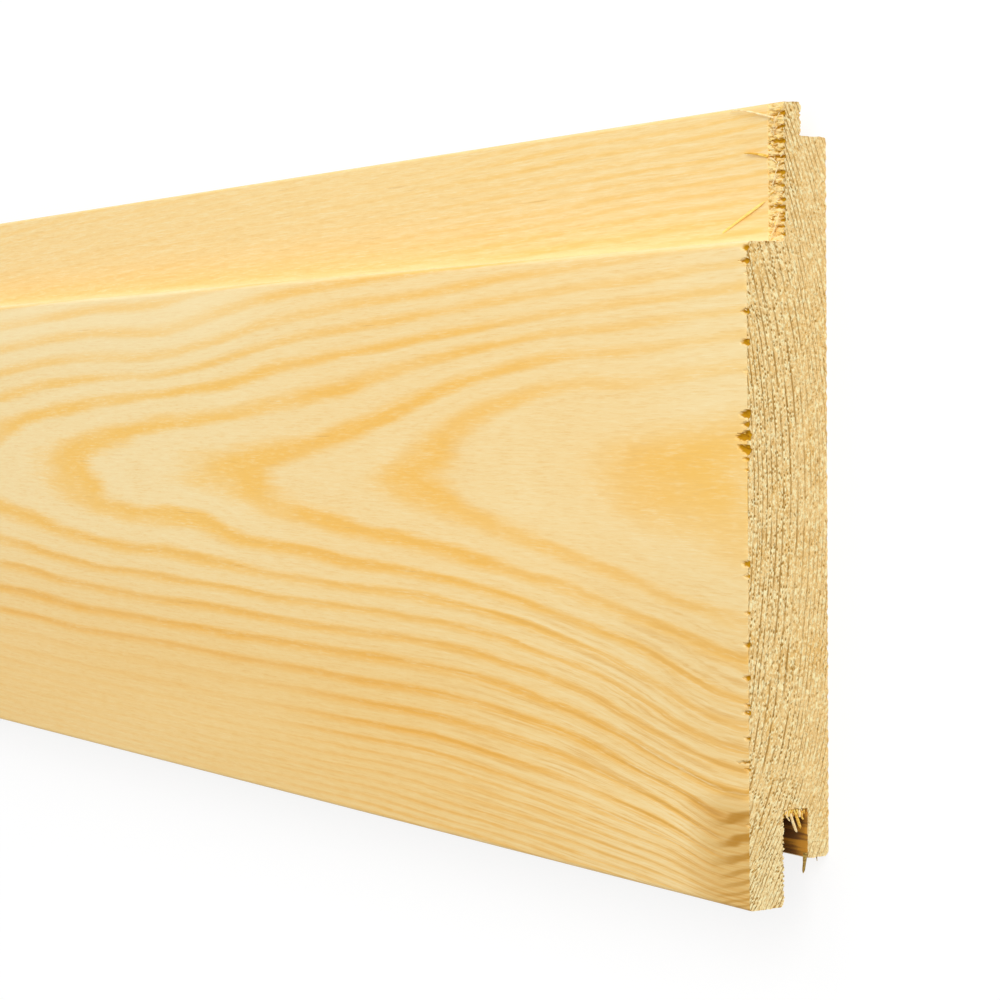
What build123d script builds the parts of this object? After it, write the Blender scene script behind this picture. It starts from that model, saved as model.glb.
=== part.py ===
"""One softwood shadow gap cladding board, planed to its section and sawn square at both ends.

Frame, in millimetres: X runs along the board, Y across its face from the grooved edge to the
tongue, and Z through it from the back (Z = 0, lying on the ground) to the planed front face.
The origin is the centre of the length and of the overall width, on the back face.
"""
from build123d import *
import os

# The stock
board_length = 1800.0
board_width = 145.0  # overall, from the lower lip to the tip of the tongue
board_thickness = 18.0

# The upper edge: a deep rebate in the front leaves the tongue at the back of the gap
rebate_height = 25.0  # from the tip of the tongue down to the ledge
rebate_depth = 8.2  # from the front face back to the face of the tongue
tongue_thickness = 4.2
tongue_height = 6.0  # how far the tongue stands above the shoulder behind it

# The lower edge: a groove takes the tongue of the board below, and the front lip hangs over it
lip_drop = 8.4  # how much lower the front lip reaches than the back leg
lip_clearance = 0.3  # between the lip's back and the face of the tongue that it covers
back_clearance = 0.7  # between the back of that tongue and the back leg
tip_clearance = 3.2  # above the tip of that tongue

# Arrises, eased by the moulder's cutters
ledge_arris = 1.2  # front edge of the ledge, the top line of the shadow
lip_arris = 0.8  # front edge of the lip
lip_back_arris = 1.0  # back edge of the lip
tongue_arris = 0.8  # both edges of the tongue's tip
shoulder_arris = 0.5  # back edge of the shoulder
leg_mouth_arris = 0.6  # edge of the back leg beside the groove
leg_back_arris = 1.2  # edge of the back leg at the back face

# The groove is cut to receive the tongue of an equal board
groove_depth = tongue_height + tip_clearance
groove_width = tongue_thickness + lip_clearance + back_clearance
lip_thickness = rebate_depth - lip_clearance

# Levels across the width, and through the thickness
tip_y = board_width / 2
shoulder_y = tip_y - tongue_height
ledge_y = tip_y - rebate_height
lip_y = -board_width / 2
leg_y = lip_y + lip_drop
front_z = board_thickness
tongue_front_z = front_z - rebate_depth
tongue_back_z = tongue_front_z - tongue_thickness
lip_back_z = front_z - lip_thickness
leg_front_z = lip_back_z - groove_width

# Each eased corner of the section, with its radius
eased_corners = [
    (ledge_y, front_z, ledge_arris),
    (lip_y, front_z, lip_arris),
    (lip_y, lip_back_z, lip_back_arris),
    (tip_y, tongue_front_z, tongue_arris),
    (tip_y, tongue_back_z, tongue_arris),
    (shoulder_y, 0, shoulder_arris),
    (leg_y, leg_front_z, leg_mouth_arris),
    (leg_y, 0, leg_back_arris),
]

with BuildPart() as cladding_board:
    with BuildSketch(Plane.YZ) as section:
        # the planed blank
        Rectangle(board_width, board_thickness, align=(Align.CENTER, Align.MIN))
        # front rebate, which makes the shadow gap
        with Locations((tip_y, front_z)):
            Rectangle(rebate_height, rebate_depth, align=Align.MAX, mode=Mode.SUBTRACT)
        # back rebate, which leaves the tongue and its shoulder
        with Locations((tip_y, 0)):
            Rectangle(tongue_height, tongue_back_z, align=(Align.MAX, Align.MIN), mode=Mode.SUBTRACT)
        # the cut that leaves the lip hanging below the back leg
        with Locations((lip_y, 0)):
            Rectangle(lip_drop, lip_back_z, align=Align.MIN, mode=Mode.SUBTRACT)
        # groove for the tongue of the next board
        with Locations((leg_y, leg_front_z)):
            Rectangle(groove_depth, groove_width, align=Align.MIN, mode=Mode.SUBTRACT)
        for corner_y, corner_z, radius in eased_corners:
            fillet(section.vertices().sort_by_distance((corner_y, corner_z, 0))[0], radius)
    extrude(amount=board_length / 2, both=True)

cladding_board.part.label = "cladding_board"

os.makedirs("parts", exist_ok=True)
export_step(cladding_board.part, "parts/cladding_board.step")
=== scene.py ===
"""Looks of a planed softwood shadow gap cladding board.

The board lies on its back face: X runs along it, Y across its face from the grooved edge to the
tongue, and Z up through it to the planed front face. Lengths are in metres, except where the wood
itself is described. Its rings, tears and fibres are placed in mm on the board: along from the near
sawn end (into the board is negative), up from the lip's lower edge, and deep from the front face.
"""
import logging
import math
import random
from dataclasses import dataclass, field
from enum import Enum

import bpy
import numpy as np
from mathutils import Matrix, Vector, kdtree, noise
from mathutils.geometry import delaunay_2d_cdt


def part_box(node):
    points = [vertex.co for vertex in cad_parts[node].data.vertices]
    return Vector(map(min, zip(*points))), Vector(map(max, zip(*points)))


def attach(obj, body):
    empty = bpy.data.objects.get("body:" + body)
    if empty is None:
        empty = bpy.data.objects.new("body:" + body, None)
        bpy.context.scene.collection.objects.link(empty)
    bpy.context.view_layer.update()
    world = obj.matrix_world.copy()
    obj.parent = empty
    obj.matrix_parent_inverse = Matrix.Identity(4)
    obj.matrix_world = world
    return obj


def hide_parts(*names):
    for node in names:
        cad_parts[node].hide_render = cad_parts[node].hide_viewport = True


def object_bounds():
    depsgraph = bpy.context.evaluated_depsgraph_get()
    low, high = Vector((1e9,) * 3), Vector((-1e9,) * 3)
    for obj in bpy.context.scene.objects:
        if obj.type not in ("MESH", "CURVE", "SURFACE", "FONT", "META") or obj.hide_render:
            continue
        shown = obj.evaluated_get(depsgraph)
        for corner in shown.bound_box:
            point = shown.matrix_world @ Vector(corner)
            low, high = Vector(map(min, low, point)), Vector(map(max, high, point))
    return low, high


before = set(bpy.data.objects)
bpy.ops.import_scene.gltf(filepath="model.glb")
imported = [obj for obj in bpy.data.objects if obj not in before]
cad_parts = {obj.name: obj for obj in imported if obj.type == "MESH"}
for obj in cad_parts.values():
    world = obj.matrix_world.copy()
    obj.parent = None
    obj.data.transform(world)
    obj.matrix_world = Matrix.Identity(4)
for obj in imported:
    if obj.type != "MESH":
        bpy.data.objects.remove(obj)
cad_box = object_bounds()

MM = 0.001
NODE = "cladding_board"
BODY = "root"
LOG = logging.getLogger(NODE)
Socket = bpy.types.NodeSocket
Value = Socket | float | tuple


def srgb(red: int, green: int, blue: int) -> tuple[float, float, float, float]:
    """Give a display colour as the linear colour that a shader takes.

    Args:
        red: Red from 0 to 255.
        green: Green from 0 to 255.
        blue: Blue from 0 to 255.

    Returns:
        The linear red, green and blue, and an alpha of 1.
    """
    shares = (channel / 255 for channel in (red, green, blue))
    linear = (s / 12.92 if s <= 0.04045 else ((s + 0.055) / 1.055) ** 2.4 for s in shares)
    return (*linear, 1.0)


class NodeGraph:
    """A node tree under construction, with short calls for the nodes that the wood uses."""

    def __init__(self, tree: bpy.types.NodeTree) -> None:
        """Start on an emptied tree."""
        tree.nodes.clear()
        self.tree = tree

    def add(self, kind: str, values: dict | None = None, **settings: object) -> bpy.types.Node:
        """Add a node.

        Args:
            kind: The node's type, without its ShaderNode prefix.
            values: A number, colour or socket for each input, by the input's name or number.
            settings: Properties of the node itself.

        Returns:
            The new node.
        """
        node = self.tree.nodes.new("ShaderNode" + kind)
        for name, value in settings.items():
            setattr(node, name, value)
        for key, value in (values or {}).items():
            self.feed(node.inputs[key], value)
        return node

    def feed(self, socket: Socket, value: Value) -> None:
        """Link a socket to an input, or set the input's own value."""
        if isinstance(value, Socket):
            self.tree.links.new(value, socket)
        else:
            socket.default_value = value

    def maths(self, operation: str, *terms: Value) -> Socket:
        """Give the result of a Math node on one, two or three terms."""
        node = self.add("Math", dict(enumerate(terms)), operation=operation)
        return node.outputs[0]

    def vector(self, operation: str, *terms: Value) -> Socket:
        """Give the vector result of a Vector Math node on its terms."""
        node = self.add("VectorMath", dict(enumerate(terms)), operation=operation)
        return node.outputs["Vector"]

    def times(self, first: Value, *others: Value) -> Socket:
        """Give the product of its terms."""
        for other in others:
            first = self.maths("MULTIPLY", first, other)
        return first

    def total(self, first: Value, *others: Value) -> Socket:
        """Give the sum of its terms."""
        for other in others:
            first = self.maths("ADD", first, other)
        return first

    def fade(self, value: Socket, start: float, end: float, low: float = 0.0,
             high: float = 1.0) -> Socket:
        """Ease a value from low at start to high at end, and hold it outside that range.

        Args:
            value: The socket to read.
            start: Where the result is low.
            end: Where the result is high, which may be less than start.
            low: The result at start.
            high: The result at end.

        Returns:
            The eased value's socket.
        """
        backwards = end < start
        limits = (end, start, high, low) if backwards else (start, end, low, high)
        numbers = dict(zip(("From Min", "From Max", "To Min", "To Max"), limits))
        node = self.add("MapRange", {"Value": value, **numbers}, interpolation_type="SMOOTHSTEP")
        return node.outputs["Result"]

    def window(self, value: Socket, edges: tuple[float, ...]) -> Socket:
        """Give a soft share, from 0 to 1, of where a value lies within edges.

        Args:
            value: The socket to read.
            edges: Where the share is still 0 and where it is 1, and, if it falls again, where it
                is still 1 and where it is back at 0.

        Returns:
            The share's socket.
        """
        share = self.fade(value, edges[0], edges[1])
        if len(edges) == 4:
            share = self.times(share, self.fade(value, edges[3], edges[2]))
        return share

    def mix(self, share: Value, first: Value, second: Value, blend: str = "MIX") -> Socket:
        """Mix two colours.

        Args:
            share: How much of the second colour there is.
            first: The first colour or its socket.
            second: The second colour or its socket.
            blend: The way of mixing.

        Returns:
            The mixed colour's socket.
        """
        node = self.add("Mix", {0: share, 6: first, 7: second}, data_type="RGBA", blend_type=blend)
        return node.outputs[2]

    def tint(self, colour: Value, *tints: tuple) -> Socket:
        """Bring colours in by how high or low some sockets are.

        Args:
            colour: The colour so far.
            tints: For each tint in turn, the socket that is read, where there is none of it, where
                there is most of it, how much that is, and its colour.

        Returns:
            The new colour's socket.
        """
        for value, none, most, share, tint in tints:
            colour = self.mix(self.fade(value, none, most, 0.0, share), colour, tint)
        return colour


@dataclass(frozen=True)
class SoftNoise:
    """Soft noise from 0 to 1 over the board.

    Its repeats are how often it varies in each mm along, up and deep, or round the rings. Its
    reach is how far it goes to each side of 0 when it is used as a swing.
    """

    repeats: tuple[float, float, float]
    detail: float = 2.0
    roughness: float = 0.5
    reach: float = 0.0

    def draw(self, graph: NodeGraph, place: Socket) -> Socket:
        """Give the noise at a place."""
        scaled = graph.vector("MULTIPLY", place, self.repeats)
        values = {"Vector": scaled, "Scale": 1.0, "Detail": self.detail, "Roughness": self.roughness}
        return graph.add("TexNoise", values).outputs["Fac"]

    def swing(self, graph: NodeGraph, place: Socket) -> Socket:
        """Give the noise at a place as a swing about 0."""
        return graph.maths("MULTIPLY_ADD", self.draw(graph, place), 4 * self.reach, -2 * self.reach)


@dataclass(frozen=True)
class Spot:
    """The sockets of a place on the board in mm: all of it, and how far along, up and deep."""

    place: Socket
    along: Socket
    up: Socket
    deep: Socket

    @classmethod
    def of(cls, graph: NodeGraph, place: Socket) -> "Spot":
        """Take a place apart."""
        return cls(place, *graph.add("SeparateXYZ", {0: place}).outputs)


@dataclass(frozen=True)
class Zone:
    """A soft-edged part of the board, by its edges in mm along, up and deep.

    Two edges in one direction are where the zone begins and where it shows in full. Four are those,
    and then where it starts to fade and where it ends.
    """

    along: tuple[float, ...] = ()
    up: tuple[float, ...] = ()
    deep: tuple[float, ...] = ()

    def share(self, graph: NodeGraph, spot: Spot) -> Socket:
        """Give how far a spot lies in the zone, from 0 outside it to 1."""
        bounds = ((spot.along, self.along), (spot.up, self.up), (spot.deep, self.deep))
        return graph.times(*(graph.window(value, edges) for value, edges in bounds if edges))


@dataclass(frozen=True)
class GrainDip:
    """A bend, where the grain is pulled down towards the lip, or up where the pull is below 0.

    All in mm: how far it is pulled, the bend's middle along and up the board, and how fast the pull
    fades away from there inwards, to the sawn end, up and down, and deep into the board.
    """

    pull: float
    along: float
    up: float
    reach_inwards: float
    reach_to_end: float
    fade_up: float
    fade_deep: float = 30.0

    def pull_nodes(self, graph: NodeGraph, spot: Spot) -> Socket:
        """Give how far the bend pulls the grain down at a spot.

        Args:
            graph: The tree that gets the nodes.
            spot: The place on the board.

        Returns:
            The pull's socket, in mm.
        """
        past = graph.maths("SUBTRACT", spot.along, self.along)
        to_end = graph.maths("GREATER_THAN", past, 0.0)
        change = self.reach_to_end - self.reach_inwards
        reach = graph.maths("MULTIPLY_ADD", to_end, change, self.reach_inwards)
        shares = (
            graph.maths("DIVIDE", past, reach),
            graph.maths("MULTIPLY_ADD", spot.up, 1 / self.fade_up, -self.up / self.fade_up),
            graph.maths("DIVIDE", spot.deep, self.fade_deep),
        )
        power = 0.0
        for share in shares:
            power = graph.maths("MULTIPLY_ADD", share, share, power)
        fall = graph.maths("EXPONENT", graph.times(power, -1.0))
        return graph.times(fall, self.pull)


@dataclass(frozen=True)
class GrowthRings:
    """How the tree's growth rings run through the board, in mm.

    The pith lies ahead of the front face and draws away from it along the board, so the rings show
    as nested arches on the face and as arcs on the sawn ends. For each mm along, taper is how far it
    draws away and drift how far it shifts up. Near bow_along it bows out by bow_ahead and bow_up.
    The rings of the arches have their widths and vigours given one by one, from the innermost, and
    those outside them are drawn by chance, narrow ones first.
    """

    pith_ahead: float = 138.0
    pith_up: float = 75.3
    taper: float = 0.0119
    drift: float = 0.0065
    bow_along: float = -150.0
    bow_reach: float = 110.0
    bow_ahead: float = 0.43
    bow_up: float = 1.9
    innermost: float = 136.65
    seen: tuple[tuple[float, float], ...] = (
        (1.2, 0.68), (1.73, 0.78), (0.9, 0.8), (1.02, 1.0), (0.95, 1.0), (1.05, 0.85), (1.1, 0.75),
        (1.3, 0.75), (1.65, 0.85), (1.6, 0.9), (1.65, 0.85), (1.4, 0.85), (1.15, 0.65),
    )
    narrow_widths: tuple[float, float] = (0.74, 0.98)
    narrow_vigour: tuple[float, float] = (0.3, 0.6)
    narrow_until: float = 164.0
    later_widths: tuple[float, float] = (0.95, 1.35)
    later_vigour: tuple[float, float] = (0.55, 1.0)
    outermost: float = 198.0
    late_phase: float = 0.3
    seed: int = 11
    dips: tuple[GrainDip, ...] = (
        # the dive to the sawn end low on the face, and its last part at the surface
        GrainDip(7.3, -6.0, 30.0, 37.0, 40.0, 20.0),
        GrainDip(3.5, -8.0, 11.0, 12.0, 20.0, 9.0, fade_deep=3.0),
        # the arches' arms, above and below
        GrainDip(3.7, -250.0, 106.0, 38.0, 50.0, 14.0),
        GrainDip(4.8, -162.0, 85.0, 58.0, 45.0, 11.0),
        GrainDip(-3.0, -97.0, 37.0, 57.0, 80.0, 31.0),
        GrainDip(-4.2, -61.0, 87.0, 38.0, 18.0, 15.0),
        GrainDip(-3.5, -232.0, 63.0, 25.0, 25.0, 8.0),
    )
    # the unevenness of the rings, from the longest waves, far from the near end, to single fibres
    wander: SoftNoise = SoftNoise((1 / 420, 1 / 260, 1 / 260), 0.0, reach=7.0)
    wandering: Zone = Zone(along=(-330.0, -800.0))
    slow: SoftNoise = SoftNoise((1 / 90, 1 / 40, 1 / 40), 1.0, reach=0.5)
    ripple: SoftNoise = SoftNoise((1 / 40, 1 / 7, 1 / 7), 1.0, reach=0.09)
    fibre: SoftNoise = SoftNoise((1 / 22, 1 / 1.4, 1 / 1.4), 2.0, 0.6, reach=0.045)

    def rings(self) -> list[tuple[float, float, float]]:
        """Give each ring's inner and outer distance from the pith and its vigour, from inside out."""
        draw = random.Random(self.seed)
        found = []
        inner = self.innermost
        for width, vigour in self.seen:
            found.append((inner, inner + width, vigour))
            inner += width
        while inner < self.outermost:
            narrow = inner < self.narrow_until
            width = draw.uniform(*(self.narrow_widths if narrow else self.later_widths))
            vigour = draw.uniform(*(self.narrow_vigour if narrow else self.later_vigour))
            found.append((inner, inner + width, vigour))
            inner += width
        return found

    def place_nodes(self, graph: NodeGraph, board: "Placement") -> Socket:
        """Give the place on the board, in mm along, up and deep, from the object's coordinates."""
        coordinates = graph.add("TexCoord").outputs["Object"]
        factors = (1 / MM, 1 / MM, -1 / MM)
        offset = (-board.end_x / MM, -board.lip_y / MM, board.front_z / MM)
        return graph.vector("MULTIPLY_ADD", coordinates, factors, offset)

    def distance_nodes(self, graph: NodeGraph, spot: Spot) -> tuple[Socket, Socket]:
        """Give how far a spot is from the pith, with the grain's bends.

        Args:
            graph: The tree that gets the nodes.
            spot: The place on the board.

        Returns:
            The sockets of the distance, and of the place round the rings, both in mm.
        """
        share = graph.maths("DIVIDE", graph.maths("SUBTRACT", spot.along, self.bow_along), self.bow_reach)
        bow = graph.maths("EXPONENT", graph.times(share, share, -1.0))
        pith_up = graph.maths("MULTIPLY_ADD", spot.along, self.drift, self.pith_up)
        pith_up = graph.maths("MULTIPLY_ADD", bow, self.bow_up, pith_up)
        side = graph.maths("SUBTRACT", spot.up, pith_up)
        side = graph.total(side, *(dip.pull_nodes(graph, spot) for dip in self.dips))
        wander = graph.times(self.wander.swing(graph, spot.place), self.wandering.share(graph, spot))
        side = graph.total(side, wander, self.slow.swing(graph, spot.place))
        away = graph.maths("MULTIPLY_ADD", spot.along, -self.taper, self.pith_ahead)
        away = graph.total(graph.maths("MULTIPLY_ADD", bow, self.bow_ahead, away), spot.deep)
        joined = graph.add("CombineXYZ", {0: side, 1: away}).outputs[0]
        distance = graph.add("VectorMath", {0: joined}, operation="LENGTH").outputs["Value"]
        uneven = (layer.swing(graph, spot.place) for layer in (self.ripple, self.fibre))
        return graph.total(distance, *uneven), side

    def follow(self, graph: NodeGraph, distance: Socket, heights: list[tuple]) -> Socket:
        """Read a line of straight stretches at a distance from the pith.

        Args:
            graph: The tree that gets the nodes.
            distance: The distance's socket.
            heights: The line's corners, as distances and values from 0 to 1.

        Returns:
            The value's socket.
        """
        start, stop = heights[0][0], heights[-1][0]
        share = graph.maths("DIVIDE", graph.maths("SUBTRACT", distance, start), stop - start)
        curve = graph.add("FloatCurve", {"Value": share})
        line = curve.mapping.curves[0]
        line.points[0].location = (0.0, heights[0][1])
        line.points[1].location = (1.0, heights[-1][1])
        for place, height in heights[1:-1]:
            line.points.new((place - start) / (stop - start), height)
        for point in line.points:
            point.handle_type = "VECTOR"
        curve.mapping.update()
        return curve.outputs[0]

    def group(self, board: "Placement") -> bpy.types.NodeTree:
        """Make the node group that all the finishes read the rings from.

        Args:
            board: Where the board is.

        Returns:
            A group that gives Place in mm, Round as the distance from the pith, the place round the
            rings and the place along, Phase from 0 at a ring's inner edge to 1 at its outer edge, and
            Vigour, how dark that ring's late wood is.
        """
        tree = bpy.data.node_groups.new("growth_rings", "ShaderNodeTree")
        kinds = {"Place": "Vector", "Round": "Vector", "Phase": "Float", "Vigour": "Float"}
        for name, kind in kinds.items():
            tree.interface.new_socket(name, in_out="OUTPUT", socket_type="NodeSocket" + kind)
        graph = NodeGraph(tree)
        spot = Spot.of(graph, self.place_nodes(graph, board))
        distance, side = self.distance_nodes(graph, spot)
        rings = self.rings()
        steps = [(ring[0], number / len(rings)) for number, ring in enumerate(rings)]
        steps.append((rings[-1][1], 1.0))
        number = graph.times(self.follow(graph, distance, steps), float(len(rings)))
        peaks = [(inner + (outer - inner) * self.late_phase, vigour) for inner, outer, vigour in rings]
        given = {
            "Place": spot.place,
            "Round": graph.add("CombineXYZ", {0: distance, 1: side, 2: spot.along}).outputs[0],
            "Phase": graph.maths("FRACT", number),
            "Vigour": self.follow(graph, distance, peaks),
        }
        output = graph.tree.nodes.new("NodeGroupOutput")
        for name, value in given.items():
            graph.feed(output.inputs[name], value)
        return tree


@dataclass(frozen=True)
class Placement:
    """Where the board is, in metres."""

    end_x: float
    far_x: float
    lip_y: float
    tip_y: float
    front_z: float

    @classmethod
    def of_node(cls, name: str) -> "Placement":
        """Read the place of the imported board."""
        low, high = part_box(name)
        return cls(high.x, low.x, low.y, high.y, high.z)

    def point(self, along: float, up: float, deep: float) -> Vector:
        """Give the place in metres of a spot named in mm on the board."""
        return Vector((self.end_x + along * MM, self.lip_y + up * MM, self.front_z - deep * MM))


class Finish:
    """A finish of the wood, which makes one material."""

    name: str

    def dress(self, graph: NodeGraph, rings: bpy.types.Node) -> dict:
        """Give the values of the surface shader.

        Args:
            graph: The material's tree.
            rings: The growth ring group's node.

        Returns:
            A value or socket for each input of the Principled shader.
        """
        raise NotImplementedError

    def material(self, ring_group: bpy.types.NodeTree) -> bpy.types.Material:
        """Make the material.

        Args:
            ring_group: The node group that gives the growth rings.

        Returns:
            The new material.
        """
        made = bpy.data.materials.new(self.name)
        made.use_nodes = True
        graph = NodeGraph(made.node_tree)
        rings = graph.add("Group", node_tree=ring_group)
        surface = graph.add("BsdfPrincipled", self.dress(graph, rings))
        graph.add("OutputMaterial", {"Surface": surface.outputs[0]})
        return made


@dataclass(frozen=True)
class BandChange:
    """A zone where the bands of late wood are stronger, or fainter, by a share."""

    zone: Zone
    by: float


@dataclass(frozen=True)
class PlanedFinish(Finish):
    """Planed softwood: soft bands of late wood, silky fibres, resin lines and torn edges.

    The zones and the lengths in mm follow the board: the honey colour, the bands that dive to the
    sawn end low on the face, the groove's rough brown wood with painted shade deep inside it, the
    painted highlights at the ledge, and the strip that the saw tore.
    """

    name: str = "planed_softwood"
    early: tuple = srgb(249, 222, 162)
    late: tuple = srgb(249, 198, 96)
    pale: tuple = srgb(254, 238, 192)
    warm: tuple = srgb(238, 192, 110)
    lower: tuple = srgb(247, 234, 207)
    ochre: tuple = srgb(224, 172, 80)
    knot: tuple = srgb(182, 128, 6)
    knot_shade: tuple = srgb(232, 218, 186)
    honey: tuple = srgb(255, 245, 228)
    resin: tuple = srgb(196, 137, 60)
    # the dark of torn wood, deepened in the bites by their depth as painted shade
    torn: tuple = srgb(194, 142, 26)
    fluff: tuple = srgb(255, 231, 160)
    shred: tuple = srgb(196, 148, 54)
    # the groove's rough brown wood: its dark deep colour is painted shade, its lighter mouth colour is
    # where light reaches
    groove: tuple = srgb(104, 55, 4)
    groove_mouth_lit: tuple = srgb(206, 142, 34)
    roughness: float = 0.55
    gloss: float = 0.28
    fibre_depth: float = 0.00003

    # where in a ring its late wood and the crest of it lie, and where the bands change
    band_phase: tuple[float, ...] = (0.0, 0.24, 0.30, 0.72)
    crest_phase: tuple[float, ...] = (0.10, 0.24, 0.28, 0.40)
    band_changes: tuple[BandChange, ...] = (
        # high on the face
        BandChange(Zone(up=(82.0, 100.0)), -0.1),
        # silky wood towards the sawn end, between the arches' arms and above them
        BandChange(Zone(along=(-95.0, -30.0), up=(22.0, 36.0, 60.0, 72.0)), -0.3),
        BandChange(Zone(along=(-110.0, -45.0), up=(86.0, 96.0)), -0.4),
        # the dive, whose bands dive_tone draws
        BandChange(Zone(along=(-12.0, -5.0), up=(22.0, 16.5)), -0.8),
        # a plain patch low on the face
        BandChange(Zone(along=(-120.0, -210.0, -420.0, -560.0), up=(34.0, 25.0)), -0.75),
        # the back
        BandChange(Zone(deep=(13.0, 15.0)), 0.9),
    )
    patches: SoftNoise = SoftNoise((1 / 50, 1 / 12, 1 / 12))
    silk: SoftNoise = SoftNoise((0.11, 3.2, 3.2), 3.0, 0.65)
    fine: SoftNoise = SoftNoise((0.35, 8.5, 8.5), 2.0, 0.6)
    flow: SoftNoise = SoftNoise((5.0, 0.06, 0.035), 3.0, 0.65)
    mottle: SoftNoise = SoftNoise((0.16, 1.5, 1.5), 2.0, 0.6)
    clouds: SoftNoise = SoftNoise((1 / 170, 1 / 34, 1 / 34), 1.0)
    ducts: SoftNoise = SoftNoise((0.045, 2.4, 2.4), 1.0)

    # zones with a tone of their own
    recess: Zone = Zone(deep=(7.5, 8.1, 12.5, 13.0))
    # painted warm light bounced from the ledge: more gold low on the tongue's face far from the sawn end,
    # reaching the groove too
    ledge_bounce_gold: Zone = Zone(along=(-50.0, -200.0), up=(131.0, 124.0))
    low_crests: Zone = Zone(up=(72.0, 44.0))
    end_crests: Zone = Zone(along=(-60.0, -25.0), up=(34.0, 22.0))
    curl: Zone = Zone(along=(-150.0, -50.0), up=(62.0, 36.0), deep=(4.0, 1.0))
    # painted highlights: the tongue's root just above the ledge, and the ledge itself, paler where light
    # from the top falls
    root_highlight: Zone = Zone(up=(122.2, 120.2), deep=(7.5, 8.1))
    pale_top: Zone = Zone(along=(-170.0, -230.0), up=(98.0, 112.0), deep=(8.1, 7.9))
    ledge: Zone = Zone(up=(119.6, 119.9), deep=(8.1, 7.9))
    honeyed: Zone = Zone(along=(-230.0, -150.0, -40.0, -10.0), up=(45.0, 60.0), deep=(4.0, 1.0))

    # the dive: where its bend, shade and bands lie along the board, and how its bands run
    ragged: SoftNoise = SoftNoise((0.12, 0.35, 0.35), reach=2.2)
    dive: Zone = Zone(up=(22.0, 16.5), deep=(4.0, 1.0))
    dive_bend: tuple[float, ...] = (-18.0, -12.0, -10.0, -6.0)
    dive_shade: tuple[float, ...] = (-24.0, -8.0)
    dive_bands: tuple[float, ...] = (-12.0, -4.0)
    end_shade: Zone = Zone(along=(-75.0, -14.0), up=(85.0, 45.0))
    band_lean: float = -0.26
    band_origin: float = 3.0
    bands_per_e: float = -4.5
    first_band: float = 13.59
    band_wobble: SoftNoise = SoftNoise((0.1, 0.28, 0.3), 1.0, reach=1.3)

    # the groove, with its wave's repeats, shift and depth, and the torn strip
    in_groove: Zone = Zone(up=(17.8, 17.7), deep=(7.8, 7.9, 13.2, 13.3))
    groove_streaks: SoftNoise = SoftNoise((0.03, 1.3, 0.9), 2.0, 0.6, reach=0.55)
    groove_wave: tuple[float, float, float] = (2.33, -22.1, 0.22)
    strip: Zone = Zone(along=(-4.5, -4.4), deep=(8.1, 8.2, 9.5, 9.7))
    strands: SoftNoise = SoftNoise((0.55, 2.1, 1.2), 3.0, 0.7)
    strip_rim: tuple[float, ...] = (-4.0, -4.35)
    broken_rim: SoftNoise = SoftNoise((0.1, 0.7, 0.1), 1.0)

    def bands(self, graph: NodeGraph, rings: bpy.types.Node, spot: Spot) -> Socket:
        """Give how much late wood there is: sharp towards the pith and fading outwards.

        The bands change with the zones of band_changes. In the recesses, which are the tongue's
        face and the groove, the wood is more golden, and its bands are stronger near the sawn end
        and fainter far from it. Low on the tongue's face, far from the sawn end, more gold is painted
        in as warm light bounced from the ledge, and the groove takes it too.

        Args:
            graph: The material's tree.
            rings: The growth ring group's node.
            spot: The place on the board.

        Returns:
            The share's socket.
        """
        band = graph.window(rings.outputs["Phase"], self.band_phase)
        patches = graph.fade(self.patches.draw(graph, spot.place), 0.25, 0.65, 0.7, 1.25)
        strength = graph.times(rings.outputs["Vigour"], patches)
        for change in self.band_changes:
            share = change.zone.share(graph, spot)
            strength = graph.times(strength, graph.maths("MULTIPLY_ADD", share, change.by, 1.0))
        recess = self.recess.share(graph, spot)
        change = graph.fade(spot.along, -150.0, -40.0, -0.75, 0.35)
        strength = graph.times(strength, graph.maths("MULTIPLY_ADD", recess, change, 1.0))
        golden = graph.fade(spot.along, -150.0, -30.0, 0.27, 0.20)
        # painted bounced light: more gold near the ledge, far from the sawn end
        golden = graph.maths("MULTIPLY_ADD", self.ledge_bounce_gold.share(graph, spot), 0.15, golden)
        return graph.maths("MULTIPLY_ADD", band, strength, graph.times(recess, golden))

    def wood_tone(self, graph: NodeGraph, rings: bpy.types.Node, spot: Spot, band: Socket,
                  grain: Socket, flow: Socket) -> Socket:
        """Give the colour of clean wood: its bands, their darker crests, its fibres and curls.

        Args:
            graph: The material's tree.
            rings: The growth ring group's node.
            spot: The place on the board.
            band: The socket of how much late wood there is.
            grain: The socket of the fibres' noise.
            flow: The socket of the streaks that follow the rings.

        Returns:
            The colour's socket.
        """
        colour = graph.mix(band, self.early, self.late)
        crest = graph.times(graph.window(rings.outputs["Phase"], self.crest_phase), band)
        crest = graph.times(crest, self.low_crests.share(graph, spot))
        colour = graph.mix(graph.times(crest, 0.3), colour, self.ochre)
        crest = graph.times(crest, self.end_crests.share(graph, spot))
        colour = graph.mix(graph.times(crest, 0.4), colour, self.knot)
        mottle = self.mottle.draw(graph, spot.place)
        colour = graph.tint(
            colour,
            (grain, 0.50, 0.68, 0.6, self.pale),
            (grain, 0.50, 0.32, 0.65, self.warm),
            (mottle, 0.5, 0.75, 0.25, self.pale),
            (mottle, 0.5, 0.25, 0.25, self.warm),
        )
        curl = self.curl.share(graph, spot)
        light = graph.times(graph.fade(flow, 0.50, 0.66), curl, 0.45)
        dark = graph.times(graph.fade(flow, 0.50, 0.34), curl, 0.4)
        return graph.mix(dark, graph.mix(light, colour, self.pale), self.ochre)

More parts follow.
